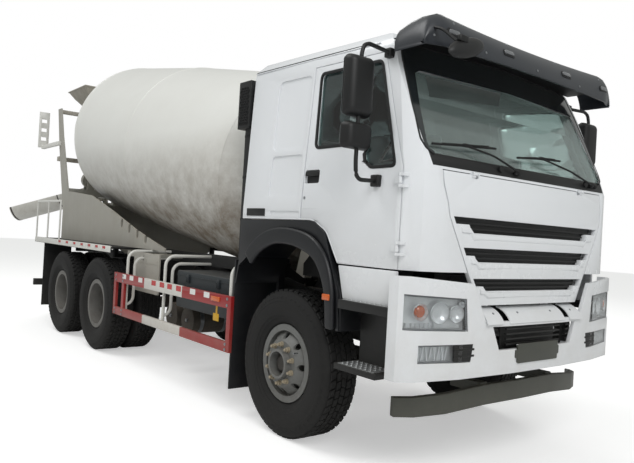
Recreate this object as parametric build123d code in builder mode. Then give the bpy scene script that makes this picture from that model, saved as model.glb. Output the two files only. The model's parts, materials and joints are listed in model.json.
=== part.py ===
# Concrete mixer truck, three axles, with a tilting cab and a revolving drum.
# Millimetres, +X forward, +Y left, +Z up, origin on the ground at mid-length.
# Stations along the truck are measured from the front axle, forward positive.
import os
from math import cos, radians, sin

from build123d import *

os.makedirs("parts", exist_ok=True)

# Running gear
FRONT_AXLE_X = 3395
WHEELBASE = 3825
BOGIE_SPREAD = 1350
TYRE_RADIUS = 556
TYRE_WIDTH = 315
TREAD_WIDTH = 236
SHOULDER_DROP = 30
RIM_SEAT_RADIUS = 256
RIM_FLANGE_RADIUS = 292
RIM_FLANGE_WIDTH = 12
RIM_HALF_WIDTH = 116
RIM_WALL = 12
SEAT_GAP = 0.3
DISC_WALL = 16
FRONT_DISC_FACE = 150
DISC_FACE_RADIUS = 172
HAND_HOLE_RADIUS = 24
HAND_HOLE_CIRCLE = 206
HAND_HOLE_COUNT = 8
HUB_RADIUS = 118
HUB_BORE = 50
HUB_RECESS_RADIUS = 92
BRAKE_RADIUS = 195
BEARING_GAP = 0.4
FRONT_TYRE_Y = 1011
DUAL_CENTRE_Y = 915
DUAL_SPACING = 340
KINGPIN_Y = 790
KINGPIN_RADIUS = 26
STEER_ARM = 200
STEER_ARM_Y = 790
STEER_ARM_DROP = 110

# Chassis
RAIL_OUTER_Y = 430
RAIL_BOTTOM_Z = 760
RAIL_HEIGHT = 300
RAIL_FLANGE = 80
RAIL_WALL = 10
RAIL_FRONT_STATION = 1130
RAIL_REAR_STATION = -6450
SUBFRAME_HEIGHT = 80
SUBFRAME_FRONT_STATION = -700

# Cab
CAB_HALF_WIDTH = 1180
CAB_WALL = 55
CAB_FLOOR_Z = 1350
ARCH_TOP_Z = 1640
HOOD_TOP_Z = 1985
PANEL_GAP = 6
DOOR_SHUT_GAP = 12
PIVOT_STATION = 1250
PIVOT_Z = 950
PIVOT_RADIUS = 25
PIVOT_BOSS = 45
DOOR_REAR_STATION = 155
DOOR_FRONT_STATION = 1155
DOOR_TOP_Z = 2775
GLASS_THICKNESS = 8
LID_THICKNESS = 60
LID_BOTTOM_Z = 1139

# Drum, its stands and the chute
DRUM_FRONT_STATION = -950
DRUM_FRONT_Z = 2060
DRUM_TILT = 9.8
DRUM_WALL = 12
DRUM_RING_S = 5380
DRUM_RING_RADIUS = 800
DRUM_RING_WIDTH = 90
ROLLER_RADIUS = 125
ROLLER_ANGLE = 32
STAND_Y = 900
STAND_PLATE = 20
CHUTE_PIVOT_STATION = -6980
CHUTE_PIVOT_Z = 2010
CHUTE_HEADING = 225.5
CHUTE_SLOPE = 17
CHUTE_RADIUS = 215
CHUTE_LENGTH = 1680
CHUTE_WALL = 8

AXLE_Z = TYRE_RADIUS
MID_AXLE_X = FRONT_AXLE_X - WHEELBASE
REAR_AXLE_X = MID_AXLE_X - BOGIE_SPREAD
BOGIE_X = (MID_AXLE_X + REAR_AXLE_X) / 2
RAIL_TOP_Z = RAIL_BOTTOM_Z + RAIL_HEIGHT
RAIL_INNER_Y = RAIL_OUTER_Y - RAIL_FLANGE
RAIL_MID_Z = RAIL_BOTTOM_Z + RAIL_HEIGHT / 2
SUBFRAME_TOP_Z = RAIL_TOP_Z + SUBFRAME_HEIGHT
SIDES = ((-1, "right"), (1, "left"))


def at(station):
    """X of a place given by its distance ahead of the front axle."""
    return FRONT_AXLE_X + station


def save(piece, name):
    """Label a finished piece and write its file."""
    piece.part.label = name
    export_step(piece.part, f"parts/{name}.step")


def outline(plane, points, radius=0):
    """A closed outline on a plane, its corners rounded where a radius is given."""
    with BuildSketch(plane) as sketch:
        with BuildLine():
            if radius:
                FilletPolyline(*points, radius=radius, close=True)
            else:
                Polyline(*points, close=True)
        make_face()
    return sketch.sketch


def stationed(points):
    """Points given as station and height, turned to X and height."""
    return [(at(station), height) for station, height in points]


def mirrored(points):
    """A half outline from the centre line outwards, closed by its mirror image."""
    return points + [(-y, z) for y, z in reversed(points) if y]


def disc(plane, centre, radius):
    """A round outline on a plane."""
    with BuildSketch(plane) as sketch:
        with Locations(centre):
            Circle(radius)
    return sketch.sketch


def side_plane(y):
    """A plane at the given Y, facing -Y, with local axes X and Z."""
    return Plane.XZ.offset(-y)


def cross_plane(x):
    """A plane at the given X, facing +X, with local axes Y and Z."""
    return Plane.YZ.offset(x)


def level_plane(z):
    """A plane at the given height, facing up, with local axes X and Y."""
    return Plane.XY.offset(z)


# Chassis frame: two channel rails, tube crossmembers and the cab's pivot brackets
rail_section = [
    (-RAIL_OUTER_Y, RAIL_BOTTOM_Z),
    (-RAIL_INNER_Y, RAIL_BOTTOM_Z),
    (-RAIL_INNER_Y, RAIL_BOTTOM_Z + RAIL_WALL),
    (-RAIL_OUTER_Y + RAIL_WALL, RAIL_BOTTOM_Z + RAIL_WALL),
    (-RAIL_OUTER_Y + RAIL_WALL, RAIL_TOP_Z - RAIL_WALL),
    (-RAIL_INNER_Y, RAIL_TOP_Z - RAIL_WALL),
    (-RAIL_INNER_Y, RAIL_TOP_Z),
    (-RAIL_OUTER_Y, RAIL_TOP_Z),
]
CROSSMEMBER_STATIONS = (1000, -1600, -2750, -3500, -5850, -6380)
CROSSMEMBER_RADIUS = 55
PIVOT_BRACKET_WIDTH = 40
PIVOT_PIN_LENGTH = 60
TOW_BLOCK_LENGTH = 90
TOW_BLOCK_HALF_WIDTH = 80
TOW_BLOCK_HEIGHT = 120
TOW_BORE_RADIUS = 25
pivot_centre = (at(PIVOT_STATION), PIVOT_Z)
pivot_bracket_points = [
    (at(RAIL_FRONT_STATION - 150), RAIL_BOTTOM_Z + RAIL_WALL),
    (at(PIVOT_STATION), PIVOT_Z - PIVOT_BOSS),
    (at(PIVOT_STATION), PIVOT_Z + PIVOT_BOSS),
    (at(RAIL_FRONT_STATION - 150), RAIL_TOP_Z - RAIL_WALL),
]
with BuildPart() as frame:
    extrude(outline(cross_plane(at(RAIL_REAR_STATION)), rail_section),
            amount=RAIL_FRONT_STATION - RAIL_REAR_STATION)
    bracket_plane = side_plane(-RAIL_OUTER_Y + PIVOT_BRACKET_WIDTH)
    extrude(outline(bracket_plane, pivot_bracket_points), amount=PIVOT_BRACKET_WIDTH)
    extrude(disc(bracket_plane, pivot_centre, PIVOT_BOSS), amount=PIVOT_BRACKET_WIDTH)
    extrude(disc(bracket_plane, pivot_centre, PIVOT_RADIUS), amount=-PIVOT_PIN_LENGTH)
    mirror(about=Plane.XZ)
    for station in CROSSMEMBER_STATIONS:
        extrude(disc(Plane.XZ, (at(station), RAIL_MID_Z), CROSSMEMBER_RADIUS),
                amount=RAIL_OUTER_Y - RAIL_WALL / 2, both=True)
    tow_x = at(CROSSMEMBER_STATIONS[-1]) - TOW_BLOCK_LENGTH / 2 - 30
    with Locations((tow_x, 0, RAIL_MID_Z)):
        Box(TOW_BLOCK_LENGTH, 2 * TOW_BLOCK_HALF_WIDTH, TOW_BLOCK_HEIGHT)
    with Locations((tow_x - 15, 0, RAIL_MID_Z)):
        Cylinder(TOW_BORE_RADIUS, TOW_BLOCK_HEIGHT, mode=Mode.SUBTRACT)
save(frame, "frame")

# Subframe: tubes on the rails, outriggers and light side beams
SIDE_BEAM_OUTER_Y = 665
SIDE_BEAM_WIDTH = 60
SIDE_BEAM_TOP_Z = 1270
SIDE_BEAM_HEIGHT = 125
SIDE_BEAM_FRONT_STATION = -700
SIDE_BEAM_REAR_STATION = -3180
OUTRIGGER_STATIONS = (-735, -1890, -2640, -3145)
OUTRIGGER_LENGTH = 60
SUBFRAME_CROSS_STATIONS = (-760, -2200, -3900, -5200)
SUBFRAME_CROSS_HEIGHT = 50
outrigger_points = [
    (-RAIL_OUTER_Y + 30, RAIL_TOP_Z + 5),
    (-RAIL_OUTER_Y + 30, SUBFRAME_TOP_Z - 8),
    (-RAIL_OUTER_Y - 12, SUBFRAME_TOP_Z - 5),
    (-SIDE_BEAM_OUTER_Y + SIDE_BEAM_WIDTH / 2, SIDE_BEAM_TOP_Z - 20),
    (-SIDE_BEAM_OUTER_Y + SIDE_BEAM_WIDTH / 2, SIDE_BEAM_TOP_Z - SIDE_BEAM_HEIGHT + 5),
]
with BuildPart() as subframe:
    for inner, outer, bottom, top, rear, front in (
        (RAIL_INNER_Y, RAIL_OUTER_Y, RAIL_TOP_Z, SUBFRAME_TOP_Z, RAIL_REAR_STATION, SUBFRAME_FRONT_STATION),
        (SIDE_BEAM_OUTER_Y - SIDE_BEAM_WIDTH, SIDE_BEAM_OUTER_Y, SIDE_BEAM_TOP_Z - SIDE_BEAM_HEIGHT,
         SIDE_BEAM_TOP_Z, SIDE_BEAM_REAR_STATION, SIDE_BEAM_FRONT_STATION),
    ):
        section = [(-inner, bottom), (-outer, bottom), (-outer, top), (-inner, top)]
        extrude(outline(cross_plane(at(rear)), section), amount=front - rear)
    for station in OUTRIGGER_STATIONS:
        extrude(outline(cross_plane(at(station) - OUTRIGGER_LENGTH / 2), outrigger_points),
                amount=OUTRIGGER_LENGTH)
    mirror(about=Plane.XZ)
    for station in SUBFRAME_CROSS_STATIONS:
        with Locations((at(station), 0, RAIL_TOP_Z + SUBFRAME_CROSS_HEIGHT / 2)):
            Box(SUBFRAME_CROSS_HEIGHT, 2 * RAIL_INNER_Y + 20, SUBFRAME_CROSS_HEIGHT)
save(subframe, "subframe")

# Front axle: drop beam with kingpin eyes and spring pads
BEAM_LENGTH_X = 90
BEAM_DROP_Z = 430
BEAM_HEIGHT = 110
EYE_RADIUS = 48
EYE_HALF_HEIGHT = 55
SPRING_Y = 400
SPRING_WIDTH = 76
beam_half = [
    (0, BEAM_DROP_Z),
    (SPRING_Y + 60, BEAM_DROP_Z),
    (KINGPIN_Y - 70, AXLE_Z - 50),
    (KINGPIN_Y, AXLE_Z - 50),
    (KINGPIN_Y, AXLE_Z + 50),
    (KINGPIN_Y - 90, AXLE_Z + 50),
    (SPRING_Y + 50, BEAM_DROP_Z + BEAM_HEIGHT),
    (0, BEAM_DROP_Z + BEAM_HEIGHT),
]
with BuildPart() as front_axle:
    beam_outline = [(-y, z) for y, z in beam_half]
    extrude(outline(cross_plane(at(-BEAM_LENGTH_X / 2)), beam_outline), amount=BEAM_LENGTH_X)
    with Locations((at(0), -KINGPIN_Y, AXLE_Z)):
        Cylinder(EYE_RADIUS, 2 * EYE_HALF_HEIGHT)
        Cylinder(KINGPIN_RADIUS + BEARING_GAP, 2 * EYE_HALF_HEIGHT + 20, mode=Mode.SUBTRACT)
    mirror(about=Plane.XZ)
save(front_axle, "front_axle")

# Steering knuckles: ears, kingpin, spindle and steering arm
EAR_GAP = 5
EAR_HEIGHT = 32
EAR_RADIUS = 50
SPINDLE_END = 105
TIE_PIN_RADIUS = 14
ARM_WIDTH = 50
ARM_HEIGHT = 26
KNUCKLE_PLATE_Y = KINGPIN_Y + EYE_RADIUS + EAR_GAP
tie_pin_x = at(-STEER_ARM)
arm_z = AXLE_Z - STEER_ARM_DROP
for side, side_name in SIDES:
    with BuildPart() as knuckle:
        for level in (1, -1):
            with Locations((at(0), side * KINGPIN_Y, AXLE_Z + level * (EYE_HALF_HEIGHT + EAR_GAP + EAR_HEIGHT / 2))):
                Cylinder(EAR_RADIUS, EAR_HEIGHT)
            with Locations((at(0), side * (KINGPIN_Y + KNUCKLE_PLATE_Y) / 2 + side * 5,
                            AXLE_Z + level * (EYE_HALF_HEIGHT + EAR_GAP + EAR_HEIGHT / 2))):
                Box(2 * EAR_RADIUS, KNUCKLE_PLATE_Y - KINGPIN_Y + 10, EAR_HEIGHT)
        with Locations((at(0), side * KINGPIN_Y, AXLE_Z)):
            Cylinder(KINGPIN_RADIUS, 2 * (EYE_HALF_HEIGHT + EAR_GAP) + EAR_HEIGHT)
        with Locations((at(0), side * (KNUCKLE_PLATE_Y + 10), AXLE_Z)):
            Box(2 * EAR_RADIUS, 20, 2 * (EYE_HALF_HEIGHT + EAR_GAP + EAR_HEIGHT))
        spindle_length = FRONT_TYRE_Y + SPINDLE_END - KNUCKLE_PLATE_Y - 10
        extrude(disc(side_plane(side * (KNUCKLE_PLATE_Y + 10)), (at(0), AXLE_Z), HUB_BORE),
                amount=-side * spindle_length)
        arm_points = [
            (at(0) + 20, side * (KNUCKLE_PLATE_Y + 15)),
            (at(0) - 40, side * (KNUCKLE_PLATE_Y + 15)),
            (tie_pin_x - 25, side * (STEER_ARM_Y + 25)),
            (tie_pin_x - 25, side * (STEER_ARM_Y - 25)),
            (tie_pin_x + 25, side * (STEER_ARM_Y - 25)),
            (at(0) - 40, side * (KNUCKLE_PLATE_Y - 40)),
            (at(0) + 20, side * (KNUCKLE_PLATE_Y - 40)),
        ]
        extrude(outline(level_plane(arm_z), arm_points), amount=ARM_HEIGHT)
        with Locations((tie_pin_x, side * STEER_ARM_Y, arm_z)):
            Cylinder(TIE_PIN_RADIUS, 60, align=(Align.CENTER, Align.CENTER, Align.MAX))
    save(knuckle, f"knuckle_{side_name}")

# Tie rod under the steering arms
TIE_ROD_RADIUS = 18
TIE_EYE_RADIUS = 30
TIE_EYE_HEIGHT = 40
TIE_OPEN_BORE = 19.5
tie_z = arm_z - 8 - TIE_EYE_HEIGHT / 2
with BuildPart() as tie_rod:
    extrude(disc(Plane.XZ, (tie_pin_x, tie_z), TIE_ROD_RADIUS), amount=STEER_ARM_Y, both=True)
    for eye_y, bore in ((-STEER_ARM_Y, TIE_PIN_RADIUS + BEARING_GAP), (STEER_ARM_Y, TIE_OPEN_BORE)):
        with Locations((tie_pin_x, eye_y, tie_z)):
            Cylinder(TIE_EYE_RADIUS, TIE_EYE_HEIGHT)
            Cylinder(bore, TIE_EYE_HEIGHT + 10, mode=Mode.SUBTRACT)
save(tie_rod, "tie_rod")

# Wheel outlines as distance from the wheel's centre plane, outwards, and radius
tyre_half_width = TYRE_WIDTH / 2
tyre_section = [
    (-RIM_HALF_WIDTH + RIM_FLANGE_WIDTH + SEAT_GAP, RIM_SEAT_RADIUS + SEAT_GAP),
    (-RIM_HALF_WIDTH + RIM_FLANGE_WIDTH + SEAT_GAP, RIM_FLANGE_RADIUS + 12),
    (-tyre_half_width, RIM_FLANGE_RADIUS + 110),
    (-tyre_half_width + 4, TYRE_RADIUS - 2 * SHOULDER_DROP - 10),
    (-TREAD_WIDTH / 2 - 14, TYRE_RADIUS - SHOULDER_DROP / 2),
    (-TREAD_WIDTH / 2, TYRE_RADIUS),
]
tyre_section += [(-w, r) for w, r in reversed(tyre_section)]
rim_section = [
    (-RIM_HALF_WIDTH, RIM_FLANGE_RADIUS),
    (-RIM_HALF_WIDTH + RIM_FLANGE_WIDTH, RIM_FLANGE_RADIUS),
    (-RIM_HALF_WIDTH + RIM_FLANGE_WIDTH, RIM_SEAT_RADIUS),
    (RIM_HALF_WIDTH - RIM_FLANGE_WIDTH, RIM_SEAT_RADIUS),
    (RIM_HALF_WIDTH - RIM_FLANGE_WIDTH, RIM_FLANGE_RADIUS),
    (RIM_HALF_WIDTH, RIM_FLANGE_RADIUS),
    (RIM_HALF_WIDTH, RIM_SEAT_RADIUS - RIM_WALL),
    (-RIM_HALF_WIDTH, RIM_SEAT_RADIUS - RIM_WALL),
]


def disc_section(face):
    """The dished disc from the rim's well to its bolting face, and the bolting ring."""
    well = RIM_SEAT_RADIUS - RIM_WALL / 2
    return [
        (face - 84, well),
        (face - 106, well),
        (face - DISC_WALL, DISC_FACE_RADIUS - 4),
        (face - DISC_WALL, HUB_RADIUS - 20),
        (face, HUB_RADIUS - 20),
        (face, DISC_FACE_RADIUS),
    ]


def wheel_plane(x):
    """A plane through an axle, local X along the axle and local Y up."""
    return Plane(origin=(x, 0, AXLE_Z), x_dir=(0, 1, 0), z_dir=(1, 0, 0))


def placed(points, side, centre_y, turned=1):
    """A wheel outline moved out to its track, mirrored for the left or right."""
    return [(side * (centre_y + turned * w), r) for w, r in points]


front_hub_section = [
    (-95, HUB_BORE + BEARING_GAP),
    (-95, BRAKE_RADIUS),
    (30, BRAKE_RADIUS),
    (52, HUB_RADIUS + 30),
    (FRONT_DISC_FACE - DISC_WALL / 2, HUB_RADIUS + 30),
    (FRONT_DISC_FACE - DISC_WALL / 2, HUB_RADIUS),
    (FRONT_DISC_FACE + 42, HUB_RADIUS - 8),
    (FRONT_DISC_FACE + 42, HUB_RECESS_RADIUS),
    (SPINDLE_END + 10, HUB_RECESS_RADIUS),
    (SPINDLE_END + 10, HUB_BORE + BEARING_GAP),
]
rear_hub_section = [
    (-265, HUB_BORE + BEARING_GAP),
    (-265, BRAKE_RADIUS),
    (-95, BRAKE_RADIUS),
    (-70, HUB_RADIUS + 30),
    (0, HUB_RADIUS + 30),
    (0, HUB_RADIUS - 4),
    (110, HUB_RADIUS - 12),
    (125, HUB_RADIUS - 40),
    (125, 0),
    (85, 0),
    (85, HUB_BORE + BEARING_GAP),
]
hand_hole_depth = 140
wheel_sets = (
    ("front", at(0), FRONT_TYRE_Y, (0,)),
    ("mid", MID_AXLE_X, DUAL_CENTRE_Y, (-1, 1)),
    ("rear", REAR_AXLE_X, DUAL_CENTRE_Y, (-1, 1)),
)
for set_name, axle_x, centre_y, pair in wheel_sets:
    for side, side_name in SIDES:
        plane = wheel_plane(axle_x)
        axle = Axis((axle_x, 0, AXLE_Z), (0, 1, 0))
        with BuildPart() as tyre:
            for place in pair:
                tyre_y = centre_y + place * DUAL_SPACING / 2
                revolve(outline(plane, placed(tyre_section, side, tyre_y)), axis=axle)
        save(tyre, f"tyre_{set_name}_{side_name}")
        with BuildPart() as rim:
            for place in pair:
                rim_y = centre_y + place * DUAL_SPACING / 2
                turned = -place if place else 1
                face = DUAL_SPACING / 2 if place else FRONT_DISC_FACE
                revolve(outline(plane, placed(rim_section, side, rim_y)), axis=axle)
                revolve(outline(plane, placed(disc_section(face), side, rim_y, turned)), axis=axle)
            hub = rear_hub_section if len(pair) > 1 else front_hub_section
            revolve(outline(plane, placed(hub, side, centre_y)), axis=axle)
            if len(pair) == 1:
                hole_plane = Plane(origin=(axle_x, side * (centre_y + FRONT_DISC_FACE + 20), AXLE_Z),
                                   x_dir=(1, 0, 0), z_dir=(0, side, 0))
                with BuildSketch(hole_plane):
                    with PolarLocations(HAND_HOLE_CIRCLE, HAND_HOLE_COUNT):
                        Circle(HAND_HOLE_RADIUS)
                extrude(amount=-hand_hole_depth, mode=Mode.SUBTRACT)
        save(rim, f"rim_{set_name}_{side_name}")

# Drive axles: housings with differentials, and the shafts that drive them
AXLE_TUBE_RADIUS = 72
DIFF_RADIUS = 205
DIFF_HALF_WIDTH = 120
SPINDLE_Y = DUAL_CENTRE_Y + 78
BRAKE_BACK_Y = DUAL_CENTRE_Y - 265 - 6
SHAFT_RADIUS = 50
GEARBOX_REAR_STATION = -1440
SHAFT_FRONT_Z = 790
SHAFT_REAR_Z = 640
PINION_REACH = 320
with BuildPart() as drive_axles:
    for axle_x in (MID_AXLE_X, REAR_AXLE_X):
        extrude(disc(Plane.XZ, (axle_x, AXLE_Z), AXLE_TUBE_RADIUS), amount=BRAKE_BACK_Y, both=True)
        extrude(disc(Plane.XZ, (axle_x, AXLE_Z), HUB_BORE), amount=SPINDLE_Y, both=True)
        extrude(disc(Plane.XZ, (axle_x, AXLE_Z), DIFF_RADIUS), amount=DIFF_HALF_WIDTH, both=True)
        extrude(disc(cross_plane(axle_x), (0, SHAFT_REAR_Z), 90), amount=PINION_REACH)
    shaft_start = Vector(MID_AXLE_X + PINION_REACH - 10, 0, SHAFT_REAR_Z)
    shaft_end = Vector(at(GEARBOX_REAR_STATION) - 5, 0, SHAFT_FRONT_Z)
    shaft_plane = Plane(origin=shaft_start, z_dir=shaft_end - shaft_start)
    with BuildSketch(shaft_plane):
        Circle(SHAFT_RADIUS)
    extrude(amount=(shaft_end - shaft_start).length)
    extrude(disc(cross_plane(REAR_AXLE_X + PINION_REACH - 10), (0, SHAFT_REAR_Z), SHAFT_RADIUS),
            amount=BOGIE_SPREAD - PINION_REACH - DIFF_RADIUS + 60)
save(drive_axles, "drive_axles")

# Leaf springs: front packs on the beam, rear packs on the bogie trunnion
FRONT_SPRING_HALF = 780
REAR_SPRING_HALF = BOGIE_SPREAD / 2
SPRING_PACK = 95
TRUNNION_RADIUS = 70
FRONT_PAD_Z = BEAM_DROP_Z + BEAM_HEIGHT
rear_spring_z = AXLE_Z + AXLE_TUBE_RADIUS
with BuildPart() as leaf_springs:
    front_pack = [
        (-FRONT_SPRING_HALF, RAIL_BOTTOM_Z - 45),
        (-120, FRONT_PAD_Z),
        (120, FRONT_PAD_Z),
        (FRONT_SPRING_HALF, RAIL_BOTTOM_Z - 45),
        (FRONT_SPRING_HALF, RAIL_BOTTOM_Z - 15),
        (120, FRONT_PAD_Z + SPRING_PACK),
        (-120, FRONT_PAD_Z + SPRING_PACK),
        (-FRONT_SPRING_HALF, RAIL_BOTTOM_Z - 15),
    ]
    extrude(outline(side_plane(-SPRING_Y + SPRING_WIDTH / 2), stationed(front_pack)), amount=SPRING_WIDTH)
    for end in (-FRONT_SPRING_HALF, FRONT_SPRING_HALF):
        extrude(disc(side_plane(-SPRING_Y + SPRING_WIDTH / 2), (at(end), RAIL_BOTTOM_Z - 30), 30),
                amount=SPRING_WIDTH)
    rear_pack = [
        (-REAR_SPRING_HALF, rear_spring_z),
        (-REAR_SPRING_HALF + 150, rear_spring_z),
        (-130, RAIL_BOTTOM_Z - 120),
        (130, RAIL_BOTTOM_Z - 120),
        (REAR_SPRING_HALF - 150, rear_spring_z),
        (REAR_SPRING_HALF, rear_spring_z),
        (REAR_SPRING_HALF, rear_spring_z + 35),
        (130, RAIL_BOTTOM_Z),
        (-130, RAIL_BOTTOM_Z),
        (-REAR_SPRING_HALF, rear_spring_z + 35),
    ]
    rear_pack = [(BOGIE_X + x, z) for x, z in rear_pack]
    extrude(outline(side_plane(-SPRING_Y - 60 + SPRING_WIDTH / 2), rear_pack), amount=SPRING_WIDTH)
    mirror(about=Plane.XZ)
save(leaf_springs, "leaf_springs")

# Engine with gearbox as a plain block, and the radiator ahead of it
ENGINE_HALF_WIDTH = 330
RADIATOR_HALF_WIDTH = 345
engine_side = [
    (GEARBOX_REAR_STATION, 740),
    (-620, 700),
    (500, 640),
    (520, 760),
    (520, 1330),
    (420, 1500),
    (-560, 1500),
    (-640, 1120),
    (-760, 1020),
    (GEARBOX_REAR_STATION, 1000),
]
with BuildPart() as engine:
    extrude(outline(Plane.XZ, stationed(engine_side)), amount=ENGINE_HALF_WIDTH, both=True)
    with Locations((at(820), 0, 1060)):
        Box(150, 2 * RADIATOR_HALF_WIDTH, 480)
    for side in (-1, 1):
        for station, inner_y in ((250, ENGINE_HALF_WIDTH), (-900, ENGINE_HALF_WIDTH), (820, RADIATOR_HALF_WIDTH)):
            reach = RAIL_OUTER_Y - RAIL_WALL - SEAT_GAP - inner_y + 10
            with Locations((at(station), side * (inner_y - 10 + reach / 2), 880)):
                Box(80, reach, 90)
save(engine, "engine")

# Cab: one outer form, given by its side, front and plan outlines
cab_side = [
    (-630, ARCH_TOP_Z),
    (-630, 2865),
    (-560, 2930),
    (900, 2945),
    (1105, 2915),
    (1168, 2840),
    (1190, 2700),
    (1290, HOOD_TOP_Z),
    (1333, 1700),
    (1345, CAB_FLOOR_Z),
    (600, CAB_FLOOR_Z),
    (470, 1565),
    (335, ARCH_TOP_Z),
]
cab_front_half = [
    (0, 1300),
    (CAB_HALF_WIDTH - 8, 1300),
    (CAB_HALF_WIDTH, 1720),
    (1125, 2815),
    (1116, 2855),
    (1060, 2922),
    (0, 2950),
]
cab_plan_half = [
    (-640, CAB_HALF_WIDTH),
    (1040, CAB_HALF_WIDTH),
    (1165, CAB_HALF_WIDTH - 18),
    (1262, 1090),
    (1320, 950),
    (1340, 500),
    (1347, 0),
]
cab_front_outline = mirrored([(-y, z) for y, z in cab_front_half])
cab_plan_outline = [(at(x), -y) for x, y in cab_plan_half] + [(at(x), y) for x, y in cab_plan_half[-2::-1]]


def drawn_in(plane, points, inset, radius=0):
    """An outline drawn in from all its edges."""
    with BuildSketch(plane) as sketch:
        with BuildLine():
            if radius:
                FilletPolyline(*points, radius=radius, close=True)
            else:
                Polyline(*points, close=True)
        make_face()
        if inset:
            offset(amount=-inset, kind=Kind.INTERSECTION)
    return sketch.sketch


def cab_block(inset=0):
    """The cab's outer form, drawn in by a wall or a glass setback."""
    with BuildPart() as block:
        extrude(drawn_in(Plane.XZ, stationed(cab_side), inset), amount=CAB_HALF_WIDTH + 20, both=True)
        extrude(drawn_in(cross_plane(at(-700)), cab_front_outline, inset), amount=2200, mode=Mode.INTERSECT)
        extrude(drawn_in(level_plane(1200), cab_plan_outline, inset), amount=1900, mode=Mode.INTERSECT)
    return block.part


FIREWALL_STATION = 1150
HINGE_PIN_RADIUS = 6
HINGE_EYE_RADIUS = 12
HINGE_EYE_HALF = 20
HINGE_GAP = 5
HINGE_EAR = 20
DOOR_HINGE_Y = 1186
DOOR_HINGE_LEVELS = (1480, 1900)
LID_HINGE_STATION = 1302
LID_HINGE_Z = HOOD_TOP_Z
LID_HINGE_Y = 660
lid_hinge_centre = (at(LID_HINGE_STATION), LID_HINGE_Z)
LID_POCKET_DEPTH = 20
LID_GAP = 8
pocket_half = [(0, HOOD_TOP_Z + 2), (950 + LID_GAP, HOOD_TOP_Z + 2), (950 + LID_GAP, 1888),
               (900 + LID_GAP, 1698), (588 + LID_GAP, LID_BOTTOM_Z - 9), (0, LID_BOTTOM_Z - 9)]
door_outline = [
    (DOOR_REAR_STATION, ARCH_TOP_Z - 200),
    (DOOR_REAR_STATION, DOOR_TOP_Z),
    (DOOR_FRONT_STATION - 70, DOOR_TOP_Z),
    (DOOR_FRONT_STATION, 2000),
    (DOOR_FRONT_STATION, CAB_FLOOR_Z - 60),
    (DOOR_REAR_STATION, CAB_FLOOR_Z - 60),
]
window_outline = [
    (268, 2165),
    (792, 2165),
    (815, 1995),
    (1085, 1995),
    (1078, 2080),
    (1032, 2712),
    (255, 2712),
]
screen_half = [(0, HOOD_TOP_Z + 18), (1037, HOOD_TOP_Z + 18), (1062, 2120), (1012, 2640), (0, 2662)]
lid_half = [(0, HOOD_TOP_Z - PANEL_GAP), (950, HOOD_TOP_Z - PANEL_GAP), (946, 1895), (900, 1700),
            (588, LID_BOTTOM_Z), (0, LID_BOTTOM_Z)]
lid_side = [(1291, HOOD_TOP_Z - PANEL_GAP), (1333, 1700), (1352, LID_BOTTOM_Z)]
door_inner_y = 1075
door_depth = CAB_HALF_WIDTH + 20 - door_inner_y
cab_outer = cab_block()
cab_inner = cab_block(CAB_WALL)

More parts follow.
